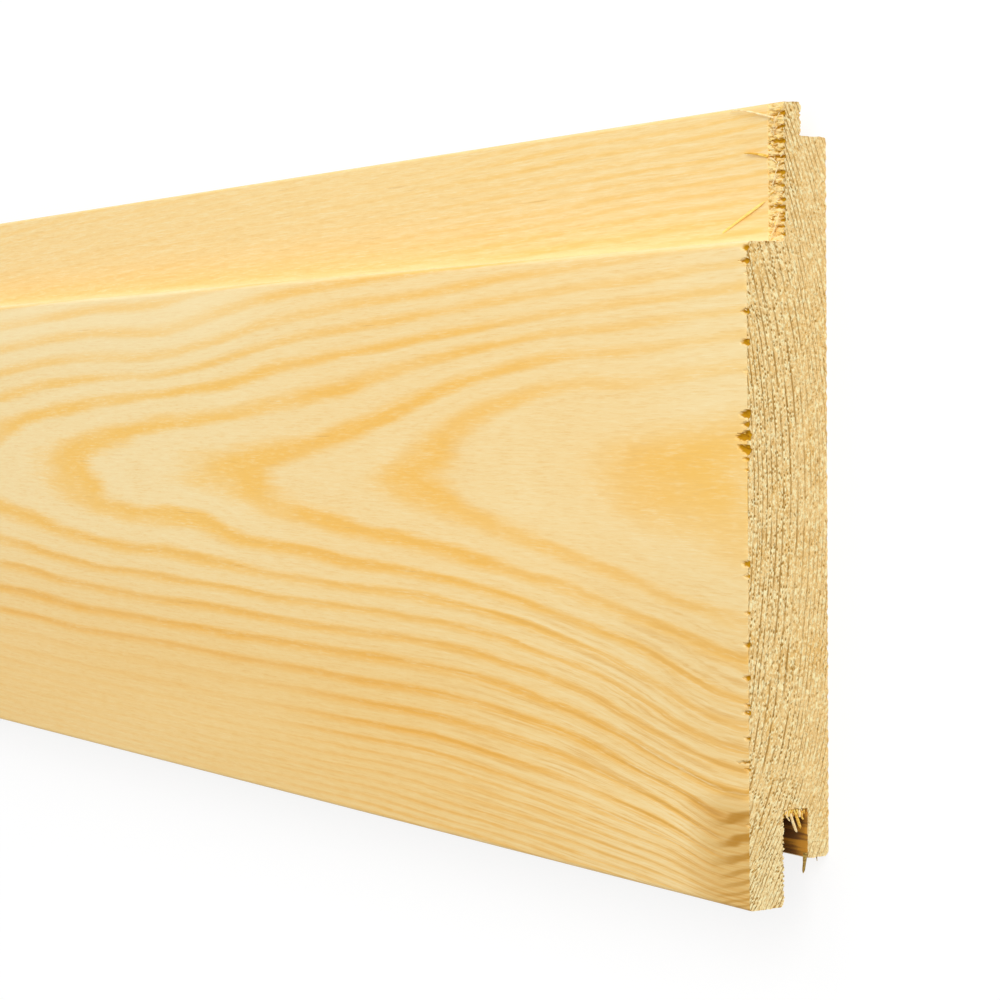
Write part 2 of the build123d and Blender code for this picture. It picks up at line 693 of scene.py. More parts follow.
    def pale_and_highlight_edges(self, graph: NodeGraph, colour: Socket, spot: Spot) -> Socket:
        """Paint highlights on the tongue's root and on the ledge, and pale the face's top away from the
        sawn end.

        Args:
            graph: The material's tree.
            colour: The wood's colour so far.
            spot: The place on the board.

        Returns:
            The new colour's socket.
        """
        # painted highlight along the tongue's root
        root = graph.times(self.root_highlight.share(graph, spot), 0.55)
        colour = graph.mix(root, colour, self.pale)
        top = graph.times(self.pale_top.share(graph, spot), 0.25)
        # painted highlight on the ledge, which faces the light from the top
        ledge = graph.times(self.ledge.share(graph, spot), 0.4)
        return graph.mix(graph.maths("MAXIMUM", top, ledge), colour, self.pale)

    def dive_tone(self, graph: NodeGraph, colour: Socket, spot: Spot) -> Socket:
        """Draw the dark bands where the grain dives to the sawn end, and shade the wood round them.

        The bands lie closer together towards the lip, by the logarithm of their height.

        Args:
            graph: The material's tree.
            colour: The wood's colour so far.
            spot: The place on the board.

        Returns:
            The new colour's socket.
        """
        near = graph.total(spot.along, self.ragged.swing(graph, spot.place))
        low = self.dive.share(graph, spot)
        bend = graph.times(graph.window(near, self.dive_bend), low, 0.1)
        colour = graph.mix(bend, colour, self.pale)
        shade = graph.times(self.end_shade.share(graph, spot), 0.22)
        shade = graph.times(shade, graph.fade(spot.up, 14.0, 34.0, 0.1, 1.0))
        dive = graph.times(graph.window(near, self.dive_shade), low)
        colour = graph.mix(graph.maths("MAXIMUM", shade, dive), colour, self.knot_shade, "MULTIPLY")
        level = graph.maths("MULTIPLY_ADD", spot.along, self.band_lean, spot.up)
        closer = graph.maths("LOGARITHM", graph.total(level, self.band_origin), math.e)
        turns = (self.bands_per_e * 2 * math.pi, self.first_band * 2 * math.pi)
        turn = graph.maths("MULTIPLY_ADD", closer, *turns)
        turn = graph.total(turn, self.band_wobble.swing(graph, spot.place))
        band = graph.fade(graph.maths("COSINE", turn), -0.4, 0.9)
        band = graph.times(band, graph.fade(spot.up, 2.0, 13.0, 0.5, 0.85))
        return graph.mix(graph.times(graph.window(near, self.dive_bands), low, band), colour, self.knot)

    def warm_tone(self, graph: NodeGraph, colour: Socket, spot: Spot, band: Socket) -> Socket:
        """Warm the wood: honey high on the face, a deeper tone low on it, and resin ducts.

        Args:
            graph: The material's tree.
            colour: The wood's colour so far.
            spot: The place on the board.
            band: The socket of how much late wood there is.

        Returns:
            The new colour's socket.
        """
        honey = graph.times(self.honeyed.share(graph, spot), 0.4)
        colour = graph.mix(honey, colour, self.honey, "MULTIPLY")
        clouds = graph.fade(self.clouds.draw(graph, spot.place), 0.2, 0.7, 0.7, 1.0)
        near_end = graph.fade(spot.along, -90.0, -15.0, 1.0, 0.62)
        shade = graph.times(clouds, graph.fade(spot.up, 70.0, 24.0), near_end)
        colour = graph.mix(shade, colour, self.lower, "MULTIPLY")
        ducts = graph.fade(self.ducts.draw(graph, spot.place), 0.73, 0.78)
        ducts = graph.times(ducts, graph.maths("MULTIPLY_ADD", band, 0.35, 0.08))
        return graph.mix(ducts, colour, self.resin)

    def groove_tone_and_shade(self, graph: NodeGraph, spot: Spot) -> Socket:
        """Give the brown of the groove's rough walls, streaked, with painted shade that darkens it
        towards its floor and further in from the sawn end.

        Args:
            graph: The material's tree.
            spot: The place on the board.

        Returns:
            The colour's socket.
        """
        repeat, shift, depth = self.groove_wave
        wave = graph.maths("COSINE", graph.maths("MULTIPLY_ADD", spot.up, repeat, shift))
        streaks = self.groove_streaks.swing(graph, spot.place)
        dark = graph.maths("MULTIPLY_ADD", wave, depth, streaks)
        # painted shade: darker towards the groove's floor and further in from the sawn end
        to_floor = graph.fade(spot.up, 9.6, 15.0, 0.55, 0.8)
        inwards = graph.fade(spot.along, -0.3, -5.0, -0.45, 0.15)
        dark = graph.total(dark, to_floor, inwards)
        return graph.mix(graph.fade(dark, 0.1, 0.9), self.groove_mouth_lit, self.groove)

    def strip_tone(self, graph: NodeGraph, colour: Socket, spot: Spot) -> Socket:
        """Draw the torn strands of the strip that the saw broke up on the tongue's face.

        Args:
            graph: The material's tree.
            colour: The wood's colour so far.
            spot: The place on the board.

        Returns:
            The new colour's socket.
        """
        strip = self.strip.share(graph, spot)
        strands = self.strands.draw(graph, spot.place)
        dark = graph.times(graph.fade(strands, 0.49, 0.36, 0.0, 0.85), strip)
        colour = graph.mix(dark, colour, self.shred)
        light = graph.times(graph.fade(strands, 0.54, 0.66, 0.0, 0.7), strip)
        colour = graph.mix(light, colour, self.fluff)
        rim = graph.times(strip, graph.window(spot.along, self.strip_rim))
        broken = graph.fade(self.broken_rim.draw(graph, spot.place), 0.42, 0.6)
        return graph.mix(graph.times(rim, broken, 0.7), colour, self.shred)

    def dress(self, graph: NodeGraph, rings: bpy.types.Node) -> dict:
        """Give the values of the surface shader for planed wood.

        Args:
            graph: The material's tree.
            rings: The growth ring group's node.

        Returns:
            A value or socket for each input of the Principled shader.
        """
        spot = Spot.of(graph, rings.outputs["Place"])
        band = self.bands(graph, rings, spot)
        flow = self.flow.draw(graph, rings.outputs["Round"])
        silk = graph.times(self.silk.draw(graph, spot.place), 0.35)
        grain = graph.maths("MULTIPLY_ADD", self.fine.draw(graph, spot.place), 0.35, silk)
        grain = graph.maths("MULTIPLY_ADD", flow, 0.3, grain)

        colour = self.wood_tone(graph, rings, spot, band, grain, flow)
        colour = self.pale_and_highlight_edges(graph, colour, spot)
        colour = self.dive_tone(graph, colour, spot)
        colour = self.warm_tone(graph, colour, spot, band)
        # painted shade: the groove's walls take a brown that darkens deep inside, where little light
        # reaches
        groove = self.in_groove.share(graph, spot)
        colour = graph.mix(graph.times(groove, 0.92), colour, self.groove_tone_and_shade(graph, spot))
        colour = self.strip_tone(graph, colour, spot)
        # torn value: painted shade darkens the bites by their depth, and lifted wood goes paler
        torn = graph.add("Attribute", attribute_name="torn").outputs["Fac"]
        colour = graph.tint(colour, (torn, 0.0, -1.0, 0.7, self.fluff), (torn, 0.0, 0.8, 1.0, self.torn))

        height = graph.maths("MULTIPLY_ADD", band, 0.35, grain)
        bump = graph.add("Bump", {"Height": height, "Strength": 1.0, "Distance": self.fibre_depth})
        rough = graph.maths("MULTIPLY_ADD", grain, 0.2, self.roughness - 0.1)
        dull = graph.maths("MAXIMUM", groove, graph.fade(torn, 0.0, 0.5))
        gloss = graph.maths("MULTIPLY_ADD", dull, -self.gloss, self.gloss)
        return {
            "Base Color": colour, "Roughness": rough, "Specular IOR Level": gloss,
            "Normal": bump.outputs[0],
        }


@dataclass(frozen=True)
class SawnFinish(Finish):
    """Sawn end grain: broken ring lines, and pores with pale tufts, partly painted shade and highlight.
    """

    name: str = "sawn_end_grain"
    base: tuple = srgb(243, 208, 143)
    ring: tuple = srgb(174, 128, 54)
    pit: tuple = srgb(166, 118, 30)
    tuft: tuple = srgb(255, 243, 190)
    amber: tuple = srgb(230, 182, 98)
    golden: tuple = srgb(200, 146, 58)
    roughness: float = 0.85
    fuzz_depth: float = 0.00018

    line_phase: tuple[float, ...] = (0.0, 0.12, 0.18, 0.40)
    pore_repeats: tuple[float, float, float] = (1.5, 1.0, 0.0)
    # how far the pale tuft beside each pore, a painted highlight, sits from it round the rings
    highlight_shift: float = 0.42
    busy_edges: tuple[float, float] = (12.5, 9.0)
    pale_lip: Zone = Zone(up=(24.0, 10.0))
    wear: SoftNoise = SoftNoise((0.5, 0.16, 0.0))
    streaks: SoftNoise = SoftNoise((3.4, 0.55, 0.0), 2.0, 0.6)
    blots: SoftNoise = SoftNoise((1.3, 0.7, 0.0), 2.0, 0.6)
    fuzz: SoftNoise = SoftNoise((0.8, 1.7, 2.3), 3.0, 0.65)
    clouds: SoftNoise = SoftNoise((0.2, 0.10, 0.3))
    crowd: SoftNoise = SoftNoise((0.2, 0.22, 0.45))

    def pores(self, graph: NodeGraph, around: Socket, shift: float) -> Socket:
        """Scatter dots in rows round the rings.

        Args:
            graph: The material's tree.
            around: The place by distance from the pith and round the rings.
            shift: How far the dots are moved round the rings, in their own spacing.

        Returns:
            The socket of how much of a dot there is.
        """
        moved = graph.vector("MULTIPLY_ADD", around, self.pore_repeats, (0.0, shift, 0.0))
        cells = graph.add("TexVoronoi", {"Vector": moved, "Scale": 1.0}, voronoi_dimensions="2D")
        chance = graph.add("SeparateXYZ", {0: cells.outputs["Color"]}).outputs[0]
        dot = graph.fade(cells.outputs["Distance"], 0.34, 0.12)
        return graph.times(dot, graph.fade(chance, 0.40, 0.55))

    def dress(self, graph: NodeGraph, rings: bpy.types.Node) -> dict:
        """Give the values of the surface shader for a sawn end.

        Args:
            graph: The material's tree.
            rings: The growth ring group's node.

        Returns:
            A value or socket for each input of the Principled shader.
        """
        spot = Spot.of(graph, rings.outputs["Place"])
        around = rings.outputs["Round"]
        line = graph.window(rings.outputs["Phase"], self.line_phase)
        line = graph.times(line, graph.fade(self.wear.draw(graph, around), 0.38, 0.58, 0.2, 1.0))
        line = graph.times(line, graph.fade(spot.deep, 15.0, 9.0, 0.6, 1.0))
        streaks = self.streaks.draw(graph, around)
        blots = self.blots.draw(graph, around)
        fuzz = self.fuzz.draw(graph, spot.place)
        clouds = self.clouds.draw(graph, spot.place)
        torn = graph.add("Attribute", attribute_name="torn").outputs["Fac"]
        crowd = graph.fade(self.crowd.draw(graph, spot.place), 0.36, 0.56, 0.3, 1.0)
        busy = graph.times(graph.fade(spot.deep, *self.busy_edges, 0.25, 1.0), crowd)
        # pores and the pale tufts shifted beside them: partly the wood's own colour, partly painted shade
        # and highlight as on pits lit from one side
        pores = graph.times(self.pores(graph, around, 0.0), busy)
        tufts = graph.times(self.pores(graph, around, self.highlight_shift), busy)
        colour = graph.mix(graph.times(self.pale_lip.share(graph, spot), 0.3), self.base, self.tuft)
        colour = graph.tint(
            colour,
            (clouds, 0.48, 0.72, 0.5, self.amber),
            (blots, 0.40, 0.26, 0.7, self.golden),
            (streaks, 0.44, 0.28, 0.6, self.ring),
            (blots, 0.52, 0.66, 0.85, self.tuft),
            (fuzz, 0.52, 0.66, 0.8, self.tuft),
            (fuzz, 0.44, 0.30, 0.55, self.ring),
        )
        colour = graph.mix(graph.times(line, 0.9), colour, self.ring)
        colour = graph.mix(graph.times(tufts, 0.9), colour, self.tuft)
        colour = graph.mix(graph.times(pores, 0.85), colour, self.pit)
        # torn value: deeper pits darker, partly their own brown and partly painted shade; tufts paler
        colour = graph.tint(colour, (torn, 0.1, 0.9, 0.95, self.pit), (torn, -0.1, -0.9, 0.8, self.tuft))
        height = graph.total(graph.maths("MULTIPLY_ADD", line, -0.5, fuzz), streaks)
        height = graph.maths("MULTIPLY_ADD", pores, -0.6, height)
        bump = graph.add("Bump", {"Height": height, "Strength": 1.0, "Distance": self.fuzz_depth})
        return {
            "Base Color": colour, "Roughness": self.roughness, "Specular IOR Level": 0.1,
            "Normal": bump.outputs[0],
        }


@dataclass(frozen=True)
class FibreFinish(Finish):
    """A torn fibre, of one tone."""

    name: str
    tone: tuple
    shade: tuple
    roughness: float = 0.6
    streaks: SoftNoise = SoftNoise((0.9, 3.0, 3.0))

    def dress(self, graph: NodeGraph, rings: bpy.types.Node) -> dict:
        """Give the values of the surface shader for a fibre.

        Args:
            graph: The material's tree.
            rings: The growth ring group's node.

        Returns:
            A value or socket for each input of the Principled shader.
        """
        streaks = self.streaks.draw(graph, rings.outputs["Place"])
        colour = graph.mix(graph.fade(streaks, 0.35, 0.65), self.tone, self.shade)
        return {"Base Color": colour, "Roughness": self.roughness, "Specular IOR Level": 0.2}


class FibreTone(Enum):
    """The tones of torn fibre, from bleached tufts to dark fibres."""

    PALE = FibreFinish("pale_fibre", srgb(255, 236, 186), srgb(247, 212, 146))
    YELLOW = FibreFinish("yellow_fibre", srgb(255, 232, 138), srgb(252, 216, 112))
    GOLDEN = FibreFinish("golden_fibre", srgb(248, 206, 100), srgb(222, 166, 60))
    DARK = FibreFinish("dark_fibre", srgb(176, 146, 74), srgb(132, 102, 44))


@dataclass(frozen=True)
class Corner:
    """A corner of the section, in metres, and the radius it is eased to."""

    y: float
    z: float
    radius: float = 0.0


@dataclass(frozen=True)
class BoardSection:
    """The moulded section, with its sizes in metres named as in the part's own source."""

    place: Placement
    rebate_height: float = 25.0 * MM
    rebate_depth: float = 8.2 * MM
    tongue_thickness: float = 4.2 * MM
    tongue_height: float = 6.0 * MM
    lip_drop: float = 8.4 * MM
    lip_clearance: float = 0.3 * MM
    back_clearance: float = 0.7 * MM
    tip_clearance: float = 3.2 * MM
    ledge_arris: float = 1.2 * MM
    lip_arris: float = 0.8 * MM
    lip_back_arris: float = 1.0 * MM
    tongue_arris: float = 0.8 * MM
    shoulder_arris: float = 0.5 * MM
    leg_mouth_arris: float = 0.6 * MM
    leg_back_arris: float = 1.2 * MM
    arc_steps: int = 6

    @property
    def ledge_y(self) -> float:
        """Height of the ledge under the shadow gap."""
        return self.place.tip_y - self.rebate_height

    @property
    def shoulder_y(self) -> float:
        """Height of the shoulder behind the tongue."""
        return self.place.tip_y - self.tongue_height

    @property
    def leg_y(self) -> float:
        """Height of the back leg's foot."""
        return self.place.lip_y + self.lip_drop

    @property
    def groove_floor_y(self) -> float:
        """Height of the groove's floor."""
        return self.leg_y + self.tongue_height + self.tip_clearance

    @property
    def tongue_front_z(self) -> float:
        """Level of the tongue's face."""
        return self.place.front_z - self.rebate_depth

    @property
    def tongue_back_z(self) -> float:
        """Level of the tongue's back."""
        return self.tongue_front_z - self.tongue_thickness

    @property
    def lip_back_z(self) -> float:
        """Level of the lip's back and of the groove's front wall."""
        return self.tongue_front_z + self.lip_clearance

    @property
    def leg_front_z(self) -> float:
        """Level of the groove's back wall."""
        return self.tongue_back_z - self.back_clearance

    def corners(self) -> list[Corner]:
        """Give the corners in order, anticlockwise as seen from the near end."""
        tip, lip, front = self.place.tip_y, self.place.lip_y, self.place.front_z
        return [
            Corner(self.leg_y, 0.0, self.leg_back_arris),
            Corner(self.shoulder_y, 0.0, self.shoulder_arris),
            Corner(self.shoulder_y, self.tongue_back_z),
            Corner(tip, self.tongue_back_z, self.tongue_arris),
            Corner(tip, self.tongue_front_z, self.tongue_arris),
            Corner(self.ledge_y, self.tongue_front_z),
            Corner(self.ledge_y, front, self.ledge_arris),
            Corner(lip, front, self.lip_arris),
            Corner(lip, self.lip_back_z, self.lip_back_arris),
            Corner(self.groove_floor_y, self.lip_back_z),
            Corner(self.groove_floor_y, self.leg_front_z),
            Corner(self.leg_y, self.leg_front_z, self.leg_mouth_arris),
        ]

    def holds(self, y: np.ndarray, z: np.ndarray) -> np.ndarray:
        """Tell which places lie in the wood, arrises apart.

        Args:
            y: Places across the board.
            z: Places through the board.

        Returns:
            True for each place in the section.
        """
        rebate = (y > self.ledge_y) & (z > self.tongue_front_z)
        step = (y > self.shoulder_y) & (z < self.tongue_back_z)
        under = (y < self.leg_y) & (z < self.lip_back_z)
        groove = (y < self.groove_floor_y) & (z > self.leg_front_z) & (z < self.lip_back_z)
        return ~(rebate | step | under | groove)


@dataclass
class Outline:
    """The section's edge as points: where they are, which way is out, and how they subdivide."""

    points: np.ndarray
    outward: np.ndarray
    run: np.ndarray
    spans: list[int]

    def __len__(self) -> int:
        """Give the number of points."""
        return len(self.points)


@dataclass
class OutlineMaker:
    """Draws the section's edge at several finenesses, each of which holds the coarser one's points."""

    section: BoardSection
    coarsest: float = 12.8 * MM
    ratio: int = 4
    shown_weight: float = 1.0
    hidden_weight: float = 0.55

    def weight(self, start: np.ndarray, end: np.ndarray, out: np.ndarray) -> float:
        """Give how much room a stretch gets on the texture map, which is most for the front."""
        level = (start[1] + end[1]) / 2
        faces_front = out[1] > 0.5 and level > self.section.leg_front_z
        return self.shown_weight if faces_front else self.hidden_weight

    def draw(self, level: int) -> Outline:
        """Draw the edge.

        Args:
            level: 0 for the coarsest edge, and one more for each finer one.

        Returns:
            The edge, starting behind the back leg's foot.
        """
        corners = self.section.corners()
        points: list[np.ndarray] = []
        outward: list[np.ndarray] = []
        spans: list[int] = []
        weights: list[float] = []
        for index, corner in enumerate(corners):
            before, after = corners[index - 1], corners[(index + 1) % len(corners)]
            here = np.array((corner.y, corner.z))
            arriving = self.direction(before, corner)
            leaving = self.direction(corner, after)
            out_before = np.array((arriving[1], -arriving[0]))
            out_after = np.array((leaving[1], -leaving[0]))
            centre = here + (leaving - arriving) * corner.radius
            steps = self.section.arc_steps if corner.radius else 0
            for step in range(steps):
                turn = math.pi / 2 * step / steps
                way = arriving * math.sin(turn) - leaving * math.cos(turn)
                points.append(centre + way * corner.radius)
                outward.append(way)
                spans.append(1)
                weights.append(1.0)
            start = here + leaving * corner.radius
            end = np.array((after.y, after.z)) - leaving * after.radius
            pieces = math.ceil(np.linalg.norm(end - start) / self.coarsest) * self.ratio ** level
            weight = self.weight(start, end, out_after)
            for piece in range(pieces):
                points.append(start + (end - start) * piece / pieces)
                first = piece == 0 and not corner.radius
                outward.append((out_before + out_after) / 2 if first else out_after)
                spans.append(self.ratio)
                weights.append(weight)
        places = np.array(points)
        steps_between = np.linalg.norm(np.roll(places, -1, axis=0) - places, axis=1)
        run = np.concatenate(([0.0], np.cumsum(steps_between * np.array(weights))))
        return Outline(places, np.array(outward), run, spans)

    @staticmethod
    def direction(start: Corner, end: Corner) -> np.ndarray:
        """Give the unit direction from one corner to the next."""
        way = np.array((end.y - start.y, end.z - start.z))
        return way / np.linalg.norm(way)


def waver(up: np.ndarray, inwards: float, repeats: tuple[float, float], layer: float) -> np.ndarray:
    """Give smooth values of chance, from about -1 to 1, at heights on one station of the board.

    Args:
        up: The heights, in mm.
        inwards: How far the station is from the sawn end, in mm.
        repeats: How often the values vary in each mm up and inwards.
        layer: Which layer of chance is read.

    Returns:
        A value for each height.
    """
    return np.array([noise.noise((u * repeats[0], inwards * repeats[1], layer)) for u in up])


@dataclass(frozen=True)
class Tear:
    """A bite that the saw tore out of an edge, in mm."""

    up: float
    height: float
    length: float
    depth: float
    slant: float = 0.0
    narrowing: float = 0.45
    roundness: float = 0.3

    def bite(self, up: np.ndarray, inwards: float) -> np.ndarray:
        """Give how deep this bite is.

        Args:
            up: Heights of the places asked for.
            inwards: How far they are from the sawn end.

        Returns:
            The depth at each place, 0 outside the bite.
        """
        left = 1 - inwards / self.length
        if left <= 0:
            return np.zeros_like(up)
        half = self.height / 2 * left ** self.narrowing
        across = (up - self.up - self.slant * inwards) / half
        rounded = np.clip(1 - across ** 2, 0, 1) ** self.roundness
        return self.depth * rounded * left ** self.roundness


@dataclass(frozen=True)
class EdgeTears:
    """The torn places along the near end, on the front face and on the tongue's face."""

    face: tuple[Tear, ...] = (
        Tear(118.8, 1.3, 1.6, 0.7), Tear(116.4, 1.0, 2.1, 0.7), Tear(114.2, 0.6, 0.8, 0.4),
        Tear(107.4, 1.1, 1.6, 0.7), Tear(101.9, 1.3, 1.9, 0.75), Tear(96.9, 0.6, 1.0, 0.4),
        Tear(89.1, 1.7, 2.3, 0.9), Tear(87.3, 1.1, 1.6, 0.6), Tear(85.3, 1.9, 3.4, 1.0, -0.1),
        Tear(82.7, 1.8, 2.8, 0.9, 0.25), Tear(81.1, 0.9, 1.5, 0.5), Tear(79.2, 0.6, 0.9, 0.4),
        Tear(62.4, 1.4, 1.7, 0.6), Tear(60.2, 1.0, 1.4, 0.5), Tear(53.6, 0.8, 1.1, 0.5),
        Tear(47.9, 1.1, 1.5, 0.6), Tear(42.0, 1.1, 1.6, 0.6), Tear(37.1, 0.7, 1.2, 0.5),
        Tear(35.7, 1.0, 1.7, 0.6), Tear(31.1, 0.8, 1.3, 0.5), Tear(26.9, 0.6, 4.0, 0.45, -0.12),
        Tear(25.6, 0.8, 1.5, 0.5), Tear(15.5, 0.8, 0.9, 0.4),
    )
    tongue: tuple[Tear, ...] = (
        Tear(143.0, 0.9, 4.4, 0.6, -0.12), Tear(140.6, 0.7, 4.9, 0.6, -0.1),
        Tear(139.3, 0.5, 2.0, 0.4), Tear(137.9, 0.9, 5.2, 0.7, 0.05), Tear(136.6, 0.5, 2.2, 0.5),
        Tear(135.1, 0.7, 5.6, 0.7, 0.05), Tear(133.9, 0.5, 2.6, 0.5, -0.06),
        Tear(132.4, 0.6, 4.9, 0.6, 0.05), Tear(131.4, 0.5, 2.4, 0.5), Tear(130.0, 0.6, 5.0, 0.5, 0.1),
        Tear(128.8, 0.4, 1.8, 0.4), Tear(127.5, 0.8, 1.8, 0.7), Tear(126.1, 0.7, 5.4, 0.6, 0.05),
        Tear(124.9, 0.5, 1.7, 0.5), Tear(123.8, 0.6, 1.6, 0.6), Tear(122.7, 0.6, 4.9, 0.5),
        Tear(121.3, 0.7, 1.4, 0.6, 0.05),
    )
    strip_length: float = 4.5
    strip_depth: float = 0.14
    strip_relief: float = 0.42
    fray_reach: float = 0.28

    def on_face(self, up: np.ndarray, inwards: float) -> np.ndarray:
        """Give the depth of the bites in the front face."""
        up = self.fray(up, inwards)
        return np.max([tear.bite(up, inwards) for tear in self.face], axis=0)

    def on_tongue(self, up: np.ndarray, inwards: float) -> np.ndarray:
        """Give the depth of the bites in the tongue's face, with the strip torn up round them.

        Args:
            up: Heights of the places asked for.
            inwards: How far they are from the sawn end.

        Returns:
            The depth at each place.
        """
        if inwards >= self.strip_length:
            return np.zeros_like(up)
        frayed = self.fray(up, inwards)
        bites = np.max([tear.bite(frayed, inwards) for tear in self.tongue], axis=0)
        relief = waver(up, inwards, (1.9, 0.7), 8.0) + 0.6 * waver(up, inwards, (4.6, 1.6), 2.0)
        strip = self.strip_depth + self.strip_relief * np.maximum(relief, -0.3)
        return np.maximum(bites, strip)

    def fray(self, up: np.ndarray, inwards: float) -> np.ndarray:
        """Shift heights a little by chance, so that the bites' edges come out ragged."""
        return up + self.fray_reach * waver(up, inwards, (1.6, 2.1), 6.0)


@dataclass(frozen=True)
class SawnRelief:
    """The torn surface that the saw leaves on the end grain, in mm."""

    rings: GrowthRings
    seed: int
    mean_level: float = 0.12
    roughness: float = 0.06
    pit_radius: tuple[float, float] = (0.12, 0.27)
    pit_depth: tuple[float, float] = (0.04, 0.17)
    pit_spacing: tuple[float, float] = (0.45, 1.0)
    chain: tuple[float, float] = (0.26, 0.80)
    tuft_share: float = 0.45
    sparse_share: float = 0.30
    tuft_growth: float = 1.2
    busy: tuple[float, float] = (36.0, 112.0)
    crowd_repeats: tuple[float, float] = (0.16, 0.5)
    mean_crowd: float = 0.75
    widest_turn: float = 0.55
    deepest: float = 18.5
    stretch: float = 0.62
    coarse: tuple[float, float] = (1.4, 2.2)
    broad: tuple[float, float] = (0.3, 0.5)
    broad_share: float = 0.6
    least_torn: float = 0.55
    torn_per_mm: float = 2.5

    def spots(self) -> list[tuple[float, float, float, float]]:
        """Scatter pits and tufts in rows along the early wood of each ring.

        Returns:
            Height, depth behind the face, radius and how deep each is, negative for a tuft.
        """
        draw = random.Random(self.seed)
        found = []
        for inner, outer, _ in self.rings.rings():
            turn = -self.widest_turn
            while turn < self.widest_turn:
                reach = inner + (outer - inner) * draw.uniform(*self.chain)
                up = self.rings.pith_up + reach * math.sin(turn)
                deep = reach * math.cos(turn) - self.rings.pith_ahead
                radius = draw.uniform(*self.pit_radius)
                deepness = draw.uniform(*self.pit_depth)
                if draw.random() < self.tuft_share:
                    deepness, radius = -self.mean_level, radius * self.tuft_growth
                crowd = self.chance(up, deep, self.crowd_repeats, self.seed) + self.mean_crowd
                share = crowd if self.busy[0] < up < self.busy[1] else crowd * self.sparse_share
                if 0 < deep < self.deepest and draw.random() < share:
                    found.append((up, deep, radius, deepness))
                turn += draw.uniform(*self.pit_spacing) / reach
        return found

    @staticmethod
    def chance(up: float, deep: float, repeats: tuple[float, float], layer: float) -> float:
        """Give a smooth value of chance, from about -1 to 1, at a place on an end."""
        return noise.noise((up * repeats[0], deep * repeats[1], layer))

    def carve(self, up: np.ndarray, deep: np.ndarray) -> tuple[np.ndarray, np.ndarray]:
        """Work out the relief of places on an end.

        Args:
            up: Heights above the lip's lower edge.
            deep: Depths behind the front face.

        Returns:
            How far in each place lies, and how torn it is, from -1 on a tuft to 1 in a pit; the sawn
            finish colours deeper pits darker, partly their own brown and partly painted shade.
        """
        tree = kdtree.KDTree(len(up))
        for index, (u, d) in enumerate(zip(up, deep)):
            tree.insert((u * self.stretch, d, 0.0), index)
        tree.balance()
        level = np.array([
            self.mean_level + self.roughness * self.chance(u, d, self.coarse, self.seed)
            + self.broad_share * self.roughness * self.chance(u, d, self.broad, self.seed + 9.0)
            for u, d in zip(up, deep)
        ])
        torn = np.zeros(len(up))
        for spot_up, spot_deep, radius, deepness in self.spots():
            for _, index, far in tree.find_range((spot_up * self.stretch, spot_deep, 0.0), radius):
                share = 1 - (far / radius) ** 2
                level[index] += deepness * share
                ripped = self.least_torn + self.torn_per_mm * abs(deepness)
                torn[index] += math.copysign(share, deepness) * ripped
        return np.maximum(level, 0.0), np.clip(torn, -1, 1)


@dataclass
class TextureMap:
    """Where each part of the board lies on its square texture map.

    The body's sides are unrolled in the lower part, with more room for the near end, and the two
    sawn ends lie above.
    """

    place: Placement
    total_run: float
    stations: tuple[tuple[float, float], ...] = ((0.0, 0.0), (0.80, 0.50), (0.975, 0.86), (1.0, 1.0))
    margin: float = 0.006
    body_top: float = 0.755
    near_end_base: float = 0.765
    far_end_base: float = 0.885
    end_scale: float = 6.7

    def body(self, x: float, run: float) -> tuple[float, float]:
        """Give the map place of a point on the sides.

        Args:
            x: The place along the board.
            run: The weighted distance round the section.

        Returns:
            The place on the map.
        """
        share = (x - self.place.far_x) / (self.place.end_x - self.place.far_x)
        shares, marks = zip(*self.stations)
        u = self.margin + (1 - 2 * self.margin) * float(np.interp(share, shares, marks))
        v = self.margin + (self.body_top - self.margin) * run / self.total_run
        return u, v

    def end(self, y: float, z: float, near: bool) -> tuple[float, float]:
        """Give the map place of a point on a sawn end.

        Args:
            y: The place across the board.
            z: The place through the board.
            near: Whether it is the near end.

        Returns:
            The place on the map.
        """
        base = self.near_end_base if near else self.far_end_base
        up = y - self.place.lip_y
        if not near:
            up = self.place.tip_y - y
        return self.margin + up * self.end_scale, base + z * self.end_scale


